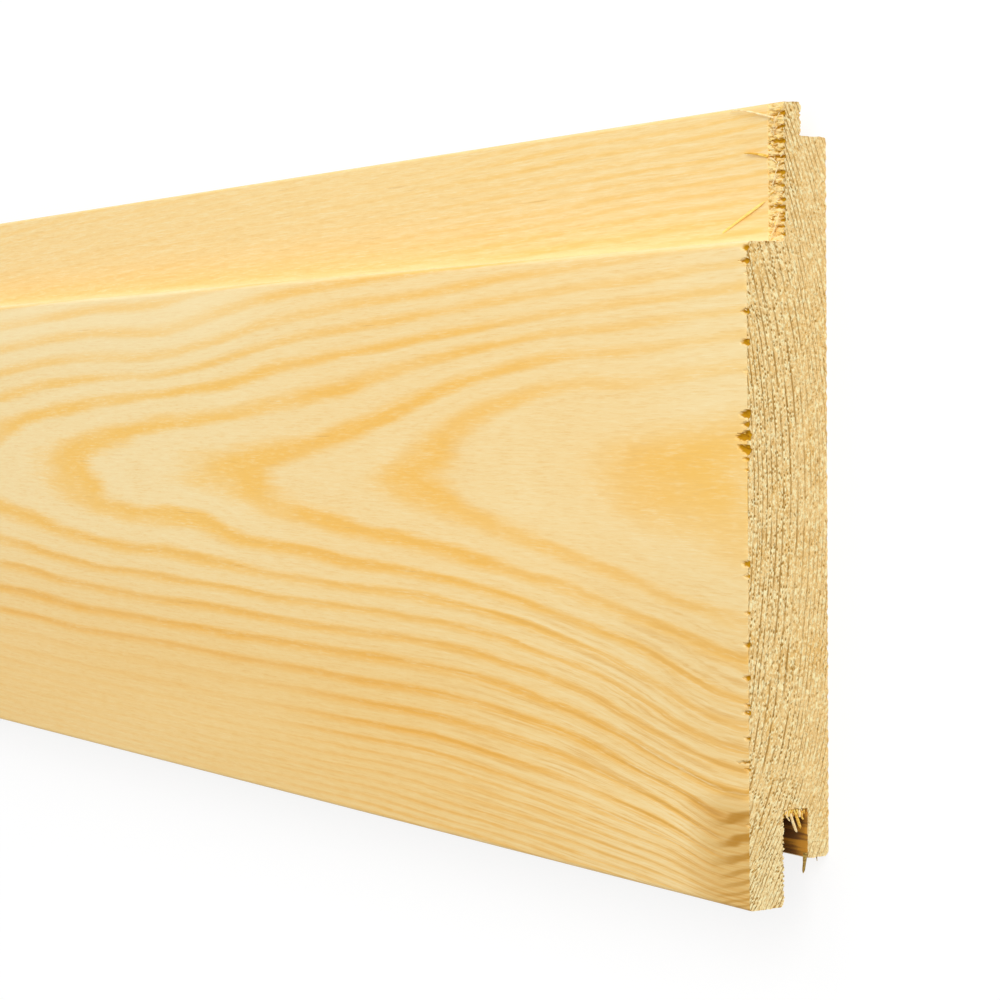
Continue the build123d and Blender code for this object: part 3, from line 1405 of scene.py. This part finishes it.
class MeshBuilder:
    """Collects a mesh's points and faces, with their map places, materials and torn values."""

    def __init__(self) -> None:
        """Start empty."""
        self.points: list[tuple[float, float, float]] = []
        self.torn: list[float] = []
        self.faces: list[tuple[int, ...]] = []
        self.map_places: list[tuple[float, float]] = []
        self.finishes: list[int] = []

    def add_points(self, places: np.ndarray, torn: np.ndarray) -> list[int]:
        """Add points.

        Args:
            places: Their places, one row each.
            torn: How torn the wood is at each.

        Returns:
            Their numbers in the mesh.
        """
        first = len(self.points)
        self.points.extend(map(tuple, places))
        self.torn.extend(torn)
        return list(range(first, len(self.points)))

    def add_face(self, corners: tuple[int, ...], map_places: list, finish: int) -> None:
        """Add a face with the map place of each corner and the number of its finish."""
        self.faces.append(corners)
        self.map_places.extend(map_places)
        self.finishes.append(finish)

    def build(self, name: str, materials: list[bpy.types.Material]) -> bpy.types.Object:
        """Make the mesh object.

        Args:
            name: The piece's name.
            materials: The finishes, by their numbers.

        Returns:
            The new object, linked into the scene.
        """
        mesh = bpy.data.meshes.new(name)
        mesh.from_pydata(self.points, [], self.faces)
        for made in materials:
            mesh.materials.append(made)
        mesh.polygons.foreach_set("material_index", self.finishes)
        layer = mesh.uv_layers.new(name="OFBake")
        layer.uv.foreach_set("vector", np.array(self.map_places, np.float32).ravel())
        torn = mesh.attributes.new("torn", "FLOAT", "POINT")
        torn.data.foreach_set("value", np.array(self.torn, np.float32))
        mesh.shade_smooth()
        mesh.set_sharp_from_angle(angle=math.radians(38))
        piece = bpy.data.objects.new(name, mesh)
        bpy.context.scene.collection.objects.link(piece)
        return piece


@dataclass
class CladdingBoard:
    """The board itself: planed sides, and two sawn ends of which the near one is worn and torn."""

    place: Placement
    section: BoardSection
    rings: GrowthRings
    tears: EdgeTears = field(default_factory=EdgeTears)
    finest_level: int = 3
    near_cell: float = 0.22
    far_cell: float = 0.62
    tear_stations: tuple[float, ...] = (
        0.25, 0.5, 0.8, 1.15, 1.55, 2.0, 2.5, 3.0, 3.5, 4.0, 4.42, 4.52, 5.2,
    )
    coarsening: tuple[float, ...] = (7.0, 11.0, 20.0)
    long_step: float = 60.0
    wear: float = 0.20
    shredding: float = 0.30
    wear_reach: float = 0.45
    wear_repeats: float = 0.9
    shred_repeats: float = 2.4
    wear_layers: tuple[float, float] = (3.0, 17.0)
    wear_length: float = 0.6
    bite_roughness: float = 0.5
    bite_shade: tuple[float, float] = (1.6, 0.3)
    lifted_tone: float = 0.8
    torn_reach: float = 6.0
    far_level: int = 2
    far_stations: tuple[float, ...] = (0.0, 0.4, 1.2)
    jitter: float = 0.3
    rim_clearance: float = 0.62

    def __post_init__(self) -> None:
        """Draw the section at each fineness."""
        maker = OutlineMaker(self.section)
        self.outlines = [maker.draw(level) for level in range(self.finest_level + 1)]
        self.mesh = MeshBuilder()
        self.map = TextureMap(self.place, self.outlines[0].run[-1])

    def edge_wear(self, outline: Outline, layer: float) -> np.ndarray:
        """Give how far the saw rounded the edge off at each point of an outline.

        Args:
            outline: The section's edge.
            layer: Which layer of chance is read.

        Returns:
            The depths in mm, which are more where the edge behind the front is shredded.
        """

        def chance(repeats: float) -> np.ndarray:
            """Give smooth values of chance round the outline."""
            return np.array([noise.noise((*(spot / MM * repeats), layer)) for spot in outline.points])

        inner = (outline.outward[:, 1] < -0.5) & (outline.points[:, 1] > self.section.leg_front_z)
        worn = self.wear * np.clip(0.45 + chance(self.wear_repeats), 0.05, 1.0)
        shreds = np.clip(0.2 + 1.6 * chance(self.shred_repeats), 0.0, 1.0)
        return worn + inner * self.shredding * shreds

    def bites(self, outline: Outline, inwards: float) -> np.ndarray:
        """Give the depth of the tears at each point of an outline.

        Args:
            outline: The section's edge.
            inwards: How far the station is from the near end, in mm.

        Returns:
            The depths in mm.
        """
        up = (outline.points[:, 0] - self.place.lip_y) / MM
        z = outline.points[:, 1]
        forward = outline.outward[:, 1] > 0.6
        on_face = forward & (z > self.section.tongue_front_z + MM)
        on_tongue = forward & (np.abs(z - self.section.tongue_front_z) < MM)
        depth = np.zeros(len(outline))
        depth[on_face] = self.tears.on_face(up[on_face], inwards)
        depth[on_tongue] = self.tears.on_tongue(up[on_tongue], inwards)
        return depth * (1 + self.bite_roughness * waver(up, inwards, (2.3, 1.1), 4.0))

    def ring_at(self, outline: Outline, inwards: float, near: bool) -> tuple[list[int], float]:
        """Add a ring of points round the board, worn and torn near its ends.

        Args:
            outline: The section's edge.
            inwards: How far the ring is from its end, in mm.
            near: Whether that is the near end.

        Returns:
            The points' numbers, and the ring's place along the board.
        """
        fade = math.exp(-inwards / self.wear_reach)
        near_layer, far_layer = self.wear_layers
        worn = self.edge_wear(outline, near_layer if near else far_layer)
        inset = worn * fade
        torn = np.zeros(len(outline))
        if near and inwards < self.torn_reach:
            bites = self.bites(outline, inwards)
            inset = np.maximum(inset, bites)
            # painted shade: the deeper a bite, the darker the torn value colours it; shallow lifted wood
            # goes paler
            lifted = (bites > 0) & (bites < self.tears.strip_depth)
            start, reach = self.bite_shade
            shade = np.clip((bites - self.tears.strip_depth * start) / reach, 0, 1)
            torn = shade - self.lifted_tone * lifted
        flat = outline.points - outline.outward * inset[:, None] * MM
        draw_in = inwards + self.wear_length * worn * fade
        end, sign = (self.place.end_x, -1) if near else (self.place.far_x, 1)
        x = end + sign * draw_in * MM
        places = np.column_stack((x, flat))
        return self.mesh.add_points(places, torn), end + sign * inwards * MM

    def side_face(self, corners: list[tuple[int, int, float]], outlines: list[Outline]) -> None:
        """Add a face of the sides.

        Args:
            corners: For each corner, its point, its number on its outline, and its place along.
            outlines: The outline that each corner is on.
        """
        numbers = tuple(corner[0] for corner in corners)
        spots = [self.map.body(x, outline.run[at]) for (_, at, x), outline in zip(corners, outlines)]
        self.mesh.add_face(numbers, spots, 0)

    def bridge(self, low: tuple, high: tuple) -> None:
        """Join two rings, of which one may be finer, with low nearer the far end.

        Args:
            low: The outline, points and place along of the ring at the lower x.
            high: The same of the ring at the higher x.
        """
        flipped = len(low[0]) > len(high[0])
        coarse, fine = (high, low) if flipped else (low, high)
        same = len(low[0]) == len(high[0])
        at = 0
        for number in range(len(coarse[0])):
            count = 1 if same else coarse[0].spans[number]
            starts = [self.corner(coarse, number), self.corner(coarse, number + 1)]
            stops = [self.corner(fine, at + step) for step in range(count + 1)]
            at += count
            if count == 1:
                loops = [[starts[0], starts[1], stops[1], stops[0]]]
            else:
                half = count // 2
                loops = [[starts[0], stops[k + 1], stops[k]] for k in range(half)]
                loops.append([starts[0], starts[1], stops[half]])
                loops += [[starts[1], stops[k + 1], stops[k]] for k in range(half, count)]
            for loop in loops:
                ordered = loop[::-1] if flipped else loop
                self.side_face([c[:3] for c in ordered], [c[3] for c in ordered])

    @staticmethod
    def corner(ring: tuple, number: int) -> tuple[int, int, float, Outline]:
        """Give a ring's point by its number, counting on past the seam for the map."""
        outline, points, x = ring
        return points[number % len(points)], number, x, outline

    def cap(self, rim: list[int], cell: float, near: bool) -> None:
        """Fill a sawn end with torn end grain.

        Args:
            rim: The numbers of the points round its edge.
            cell: The spacing of its points, in mm.
            near: Whether it is the near end.
        """
        edge = np.array([self.mesh.points[number][1:] for number in rim])
        draw = np.random.default_rng(5 if near else 6)
        step = cell * MM
        ys = np.arange(self.place.lip_y + step / 2, self.place.tip_y, step)
        zs = np.arange(step / 2, self.place.front_z, step)
        grid = np.stack(np.meshgrid(ys, zs), -1).reshape(-1, 2)
        grid += draw.uniform(-self.jitter, self.jitter, grid.shape) * step
        grid = grid[self.section.holds(grid[:, 0], grid[:, 1])]
        tree = kdtree.KDTree(len(edge))
        for index, (y, z) in enumerate(edge):
            tree.insert((y, z, 0.0), index)
        tree.balance()
        keep = [tree.find((y, z, 0.0))[2] > self.rim_clearance * step for y, z in grid]
        inner = grid[keep]
        flat = [Vector(spot) for spot in np.concatenate((edge, inner)) / MM]
        result = delaunay_2d_cdt(flat, [], [list(range(len(edge)))], 1, 1e-5)
        origins = [found[0] for found in result[3]]
        up = (inner[:, 0] - self.place.lip_y) / MM
        deep = (self.place.front_z - inner[:, 1]) / MM
        relief = SawnRelief(self.rings, seed=21 if near else 22)
        inwards, torn = relief.carve(up, deep)
        end, sign = (self.place.end_x, -1) if near else (self.place.far_x, 1)
        places = np.column_stack((end + sign * inwards * MM, inner))
        added = self.mesh.add_points(places, torn)
        numbers = rim + added
        for triangle in result[2]:
            corners = [numbers[origins[corner]] for corner in triangle]
            corners = corners if near else corners[::-1]
            spots = [self.map.end(*self.mesh.points[corner][1:], near) for corner in corners]
            self.mesh.add_face(tuple(corners), spots, 1)

    def end_rings(self, near: bool) -> list[tuple]:
        """Add the rings of one end, from the sawn edge inwards and from fine to coarse.

        Args:
            near: Whether it is the near end, which is finer.

        Returns:
            The rings in that order, each with its outline, points and place along.
        """
        finest = self.finest_level if near else self.far_level
        stations = (0.0, *self.tear_stations) if near else self.far_stations
        rings = []
        for inwards in stations:
            outline = self.outlines[finest]
            rings.append((outline, *self.ring_at(outline, inwards, near)))
        for level, inwards in zip(range(finest - 1, -1, -1), self.coarsening):
            outline = self.outlines[level]
            rings.append((outline, *self.ring_at(outline, inwards, near)))
        return rings

    def build(self, materials: list[bpy.types.Material]) -> bpy.types.Object:
        """Build the whole board as one closed mesh.

        Args:
            materials: The planed and the sawn finish.

        Returns:
            The board.
        """
        near = self.end_rings(near=True)
        far = self.end_rings(near=False)
        start, stop = far[-1][2], near[-1][2]
        count = math.ceil((stop - start) / (self.long_step * MM))
        middle = []
        outline = self.outlines[0]
        for number in range(1, count):
            x = start + (stop - start) * number / count
            places = np.column_stack((np.full(len(outline), x), outline.points))
            middle.append((outline, self.mesh.add_points(places, np.zeros(len(outline))), x))
        rings = far + middle + near[::-1]
        for low, high in zip(rings, rings[1:]):
            self.bridge(low, high)
        self.cap(near[0][1], self.near_cell, near=True)
        self.cap(far[0][1], self.far_cell, near=False)
        return self.mesh.build("planed_board", materials)


@dataclass(frozen=True)
class Splinter:
    """A torn fibre that still hangs on: the mm places it passes, and its widths."""

    path: tuple[tuple[float, float, float], ...]
    root: float
    tip: float
    tone: FibreTone
    flatness: float = 0.5


@dataclass(frozen=True)
class FuzzPatch:
    """A place where short fibres stand: how many, and where each starts, its way and its size.

    A number is kept as it is, and a pair is a range to draw from. Places and sizes are in mm.
    """

    count: int
    start: tuple
    way: tuple
    length: tuple[float, float]
    width: tuple[float, float]


@dataclass
class TornFibres:
    """The loose fibres at the near end, on the tongue's face, in the groove and on the edges."""

    place: Placement
    splinters: tuple[Splinter, ...] = (
        # three long ones on the tongue's face, and three short ones in its torn strip
        Splinter(((-2.4, 142.2, 7.9), (-11.3, 144.3, 7.2), (-15.6, 144.2, 8.15)),
                 0.34, 0.14, FibreTone.PALE),
        Splinter(((-4.4, 135.4, 8.2), (-7.4, 136.1, 7.7), (-10.9, 136.5, 7.6)),
                 0.60, 0.24, FibreTone.GOLDEN),
        Splinter(((-18.4, 122.5, 8.2), (-12.4, 124.7, 8.0), (-5.2, 127.4, 8.0)),
                 0.52, 0.6, FibreTone.YELLOW, 0.3),
        Splinter(((-2.9, 139.2, 8.4), (-1.5, 140.6, 7.4), (-0.5, 142.0, 7.1)),
                 0.34, 0.2, FibreTone.PALE),
        Splinter(((-3.2, 130.1, 8.3), (-1.6, 131.7, 7.6), (-0.4, 134.6, 7.7)),
                 0.38, 0.18, FibreTone.PALE),
        Splinter(((-3.9, 120.3, 8.1), (-1.7, 122.2, 7.5), (-0.5, 125.4, 7.8)),
                 0.34, 0.18, FibreTone.PALE),
        # one beside a nick low on the face
        Splinter(((-4.2, 26.9, 0.25), (-2.0, 27.0, 0.05), (-0.1, 26.85, 0.3)),
                 0.16, 0.12, FibreTone.DARK),
        # those that hang from the groove's floor
        Splinter(((-0.4, 16.9, 9.5), (-0.3, 15.1, 10.1), (-0.2, 13.4, 10.8)),
                 0.62, 0.66, FibreTone.PALE),
        Splinter(((-0.6, 17.0, 10.7), (-0.4, 15.5, 11.2), (-0.3, 14.0, 11.7)),
                 0.7, 0.6, FibreTone.GOLDEN),
        Splinter(((-0.3, 17.2, 8.3), (-0.2, 16.4, 8.6), (-0.1, 15.5, 9.2)),
                 0.36, 0.26, FibreTone.PALE),
        Splinter(((-0.5, 17.1, 12.2), (-0.3, 16.2, 12.0), (-0.1, 15.6, 12.3)),
                 0.5, 0.35, FibreTone.GOLDEN),
        Splinter(((-0.6, 17.3, 11.4), (-0.3, 16.7, 11.5), (-0.1, 16.1, 11.4)),
                 0.8, 0.6, FibreTone.PALE, 0.4),
        # two under the back leg
        Splinter(((-0.5, 9.4, 12.9), (-0.3, 7.8, 12.6), (-0.2, 5.8, 12.2)),
                 0.95, 0.5, FibreTone.DARK, 0.9),
        Splinter(((-0.4, 8.6, 15.4), (-0.3, 8.2, 15.4), (-0.2, 7.7, 15.4)),
                 0.3, 0.12, FibreTone.DARK),
    )
    in_groove: FuzzPatch = FuzzPatch(
        count=60, start=((-0.15, -1.6), 17.6, (8.2, 12.9)), way=((-0.1, 0.1), -1.0, (-0.6, 0.6)),
        length=(0.5, 1.6), width=(0.35, 0.65),
    )
    behind_lip: FuzzPatch = FuzzPatch(
        count=16, start=((-0.2, -0.5), (1.5, 17.0), 7.8), way=(0.0, (-0.8, 0.8), (0.2, 0.6)),
        length=(0.25, 0.6), width=(0.15, 0.3),
    )
    on_strip: FuzzPatch = FuzzPatch(
        count=40, start=((-0.8, -4.4), (120.6, 144.2), 8.3),
        way=((0.5, 1.0), (-0.5, 0.5), (-0.05, -0.3)), length=(0.7, 2.4), width=(0.18, 0.36),
    )
    in_tears: int = 10
    tear_depth: float = 0.25
    fibre_tones: tuple[FibreTone, ...] = (
        FibreTone.PALE, FibreTone.PALE, FibreTone.YELLOW, FibreTone.GOLDEN,
    )
    sides: int = 6
    steps: int = 10
    unevenness: float = 0.18
    seed: int = 33
    cell_margin: float = 0.08
    cell_length: float = 0.84
    cell_height: float = 0.7
    cap_columns: tuple[float, float] = (0.2, 0.7)
    cap_row: float = 0.89
    cap_radii: tuple[float, float] = (0.08, 0.06)

    def tuft(self, draw: random.Random, start: tuple, way: tuple, length: float,
             width: float) -> Splinter:
        """Make one short fibre.

        Args:
            draw: The source of chance.
            start: Where it grows from, in mm.
            way: Which way it points.
            length: How long it is.
            width: How thick it is at its root.

        Returns:
            The fibre, which ends short of the sawn end's plane.
        """
        middle = tuple(s + w * length * 0.5 for s, w in zip(start, way))
        stop = [s + w * length for s, w in zip(start, way)]
        stop[0] = min(stop[0], -0.05)
        stop[1] += draw.uniform(-0.15, 0.15)
        return Splinter((start, middle, tuple(stop)), width, width * 0.5, draw.choice(self.fibre_tones))

    def fuzz(self) -> list[Splinter]:
        """Scatter short fibres in the groove, behind the lip, on the tongue and in the face's tears."""
        draw = random.Random(self.seed)

        def drawn(values: tuple) -> tuple[float, ...]:
            """Draw a number from each range among the values."""
            return tuple(draw.uniform(*v) if isinstance(v, tuple) else v for v in values)

        found = []
        for patch in (self.in_groove, self.behind_lip, self.on_strip):
            for _ in range(patch.count):
                start, way = drawn(patch.start), drawn(patch.way)
                found.append(self.tuft(draw, start, way, *drawn((patch.length, patch.width))))
        for _ in range(self.in_tears):
            tear = draw.choice(EdgeTears.face)
            inwards = draw.uniform(0.3, tear.length)
            start = (-inwards, tear.up + draw.uniform(-0.6, 0.6) * tear.height, self.tear_depth)
            way = drawn((1.0, (-0.4, 0.4), (0.0, -0.15)))
            found.append(self.tuft(draw, start, way, *drawn(((0.4, 1.0), (0.12, 0.24)))))
        return found

    def path(self, splinter: Splinter) -> list[Vector]:
        """Give points along the smooth line through a splinter's three places."""
        first, middle, last = (self.place.point(*spot) for spot in splinter.path)
        control = middle * 2 - (first + last) / 2
        shares = [step / self.steps for step in range(self.steps + 1)]
        return [first * (1 - t) ** 2 + control * 2 * t * (1 - t) + last * t ** 2 for t in shares]

    def ring(self, line: list[Vector], step: int, splinter: Splinter, number: int) -> np.ndarray:
        """Give the points round a fibre at one step, kept inside the board's own box.

        Args:
            line: The fibre's path.
            step: The step along it.
            splinter: The fibre.
            number: The fibre's number, by which its width varies.

        Returns:
            The points in metres, one row each.
        """
        share = step / self.steps
        before, after = line[max(step - 1, 0)], line[min(step + 1, self.steps)]
        way = (after - before).normalized()
        across = way.cross(Vector((0.3, 0.2, 1.0))).normalized()
        thick = way.cross(across)
        width = splinter.root + (splinter.tip - splinter.root) * share
        width *= 1 + self.unevenness * noise.noise((number * 3.1, share * 5.0, 0.5))
        half = width * min(1.0, (1 - share) * 7 + 0.3) * MM / 2
        points = []
        for side in range(self.sides):
            turn = 2 * math.pi * side / self.sides
            outwards = across * half * math.cos(turn)
            points.append(line[step] + outwards + thick * half * splinter.flatness * math.sin(turn))
        return np.clip(np.array(points), cad_box[0], cad_box[1])

    def build(self, materials: dict[FibreTone, bpy.types.Material]) -> bpy.types.Object:
        """Build all fibres as one joined mesh.

        Args:
            materials: The finish of each tone.

        Returns:
            The fibres.
        """
        tones = list(FibreTone)
        mesh = MeshBuilder()
        everything = [*self.splinters, *self.fuzz()]
        cells = math.ceil(math.sqrt(len(everything)))
        for number, splinter in enumerate(everything):
            line = self.path(splinter)
            rings = []
            for step in range(len(line)):
                points = self.ring(line, step, splinter, number)
                rings.append(mesh.add_points(points, np.zeros(self.sides)))
            self.skin(mesh, rings, (number % cells, number // cells, cells), tones.index(splinter.tone))
        return mesh.build("torn_fibres", [materials[tone] for tone in tones])

    def skin(self, mesh: MeshBuilder, rings: list[list[int]], cell: tuple, finish: int) -> None:
        """Cover one fibre's rings and close its two ends.

        Args:
            mesh: The mesh that gets the faces.
            rings: The points of each ring, from root to tip.
            cell: The fibre's column and row on the texture map, and how many of each there are.
            finish: The number of its finish.
        """
        column, row, cells = cell

        def spot(across: float, above: float) -> tuple[float, float]:
            """Give a map place from its shares of the fibre's cell."""
            return (column + across) / cells, (row + above) / cells

        margin, length, height = self.cell_margin, self.cell_length, self.cell_height
        count = len(rings) - 1
        for step, (low, high) in enumerate(zip(rings, rings[1:])):
            for side in range(self.sides):
                after = (side + 1) % self.sides
                corners = (low[side], low[after], high[after], high[side])
                shares = ((step, side), (step, side + 1), (step + 1, side + 1), (step + 1, side))
                spots = [
                    spot(margin + length * (along / count), margin + height * (turned / self.sides))
                    for along, turned in shares
                ]
                mesh.add_face(corners, spots, finish)
        wide, tall = self.cap_radii
        turns = [2 * math.pi * side / self.sides for side in range(self.sides)]
        for ring, middle in zip((rings[0][::-1], rings[-1]), self.cap_columns):
            spots = [
                spot(middle + wide * math.cos(turn), self.cap_row + tall * math.sin(turn))
                for turn in turns
            ]
            mesh.add_face(tuple(ring), spots, finish)


@dataclass(frozen=True)
class Lamp:
    """A soft square lamp: where it hangs, the point it faces, its side in metres and its watts."""

    name: str
    spot: tuple[float, float, float]
    aim: tuple[float, float, float]
    size: float
    power: float

    def hang(self) -> None:
        """Hang the lamp, unseen by the camera."""
        light = bpy.data.lights.new(self.name, "AREA")
        light.shape, light.size, light.energy = "SQUARE", self.size, self.power
        lamp = bpy.data.objects.new(self.name, light)
        lamp.location = self.spot
        lamp.rotation_mode = "QUATERNION"
        lamp.rotation_quaternion = (Vector(self.aim) - Vector(self.spot)).to_track_quat("-Z", "Y")
        lamp.visible_camera = False
        bpy.context.scene.collection.objects.link(lamp)


@dataclass
class Studio:
    """A plain pale floor, soft lamps and the camera."""

    place: Placement
    floor_half: float = 30.0
    floor_colour: tuple = (0.8, 0.8, 0.8, 1.0)
    floor_own_light: float = 0.82
    floor_shadow_share: tuple = (0.21, 0.21, 0.21, 1.0)
    sky: float = 0.45
    focal_length: float = 100.5
    sensor_width: float = 36.0
    camera_place: tuple[float, float, float] = (0.4017, 0.0926, 0.2955)
    camera_turn: tuple[float, float, float] = (2.12, -58.73, 0.48)
    lamps: tuple[Lamp, ...] = (
        Lamp("key_lamp", (2.95, 1.3, 2.25), (0.4, 0.0, 0.0), 2.4, 77.0),
        Lamp("top_lamp", (-0.4, 2.7, 1.7), (0.0, 0.0, 0.0), 2.6, 34.0),
    )

    @staticmethod
    def seen(graph: NodeGraph) -> Socket:
        """Tell the rays that show the background, as seen directly, in gloss or through glass."""
        path = graph.add("LightPath")
        seen = graph.maths("MAXIMUM", path.outputs["Is Camera Ray"], path.outputs["Is Glossy Ray"])
        return graph.maths("MAXIMUM", seen, path.outputs["Is Transmission Ray"])

    def floor(self) -> bpy.types.Object:
        """Make the floor, which shows white but keeps the board's soft shadow."""
        half = self.floor_half
        corners = [(-half, -half, 0), (half, -half, 0), (half, half, 0), (-half, half, 0)]
        mesh = bpy.data.meshes.new("floor")
        mesh.from_pydata(corners, [], [(0, 1, 2, 3)])
        made = bpy.data.materials.new("pale_floor")
        made.use_nodes = True
        graph = NodeGraph(made.node_tree)
        matt = graph.add("BsdfDiffuse", {"Color": self.floor_colour})
        faint = graph.add("BsdfDiffuse", {"Color": self.floor_shadow_share})
        glow = graph.add("Emission", {"Strength": self.floor_own_light})
        shown = graph.add("AddShader", {0: faint.outputs[0], 1: glow.outputs[0]})
        mixed = graph.add("MixShader", {0: self.seen(graph), 1: matt.outputs[0], 2: shown.outputs[0]})
        graph.add("OutputMaterial", {"Surface": mixed.outputs[0]})
        mesh.materials.append(made)
        floor = bpy.data.objects.new("floor", mesh)
        bpy.context.scene.collection.objects.link(floor)
        return floor

    def world(self) -> None:
        """Set an even sky, which shows white to the camera."""
        world = bpy.data.worlds.new("studio")
        bpy.context.scene.world = world
        world.use_nodes = True
        graph = NodeGraph(world.node_tree)
        strength = graph.maths("MULTIPLY_ADD", self.seen(graph), 1 - self.sky, self.sky)
        back = graph.add("Background", {"Color": (1.0, 1.0, 1.0, 1.0), "Strength": strength})
        graph.add("OutputWorld", {"Surface": back.outputs[0]})

    def camera(self) -> None:
        """Set the camera where the photograph was taken from, with the board's length level.

        The camera leans right over, so the board's width stands upright in the picture as it does
        in the photograph, while the board itself lies flat.
        """
        data = bpy.data.cameras.new("camera")
        data.lens, data.sensor_width = self.focal_length, self.sensor_width
        data.clip_start, data.clip_end = 0.01, 100.0
        camera = bpy.data.objects.new("camera", data)
        lean, turn, roll = (math.radians(angle) for angle in self.camera_turn)
        to_camera = Matrix.Rotation(roll, 3, "Z") @ Matrix.Rotation(lean, 3, "X")
        to_camera = to_camera @ Matrix.Rotation(turn, 3, "Y")
        corner = Vector((self.place.end_x, self.place.lip_y, self.place.front_z))
        where = Matrix.Translation(corner + Vector(self.camera_place))
        camera.matrix_world = where @ to_camera.transposed().to_4x4()
        bpy.context.scene.collection.objects.link(camera)
        bpy.context.scene.camera = camera

    def build(self) -> None:
        """Set the whole studio up."""
        bpy.context.scene.view_settings.view_transform = "Standard"
        self.floor()
        self.world()
        for lamp in self.lamps:
            lamp.hang()
        self.camera()


def settle(piece: bpy.types.Object, stands_for: str = "") -> None:
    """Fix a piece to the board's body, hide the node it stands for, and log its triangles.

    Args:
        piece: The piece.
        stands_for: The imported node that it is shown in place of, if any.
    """
    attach(piece, BODY)
    if stands_for:
        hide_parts(stands_for)
    piece.data.calc_loop_triangles()
    LOG.info("%s: %d triangles", piece.name, len(piece.data.loop_triangles))


def main() -> None:
    """Dress the board and set up its studio."""
    logging.basicConfig(level=logging.INFO, format="%(name)s: %(message)s")
    place = Placement.of_node(NODE)
    section = BoardSection(place)
    rings = GrowthRings()
    ring_group = rings.group(place)
    Studio(place).build()
    surfaces = [PlanedFinish().material(ring_group), SawnFinish().material(ring_group)]
    settle(CladdingBoard(place, section, rings).build(surfaces), stands_for=NODE)
    fibres = {tone: tone.value.material(ring_group) for tone in FibreTone}
    settle(TornFibres(place).build(fibres))


if __name__ == "__main__":
    main()
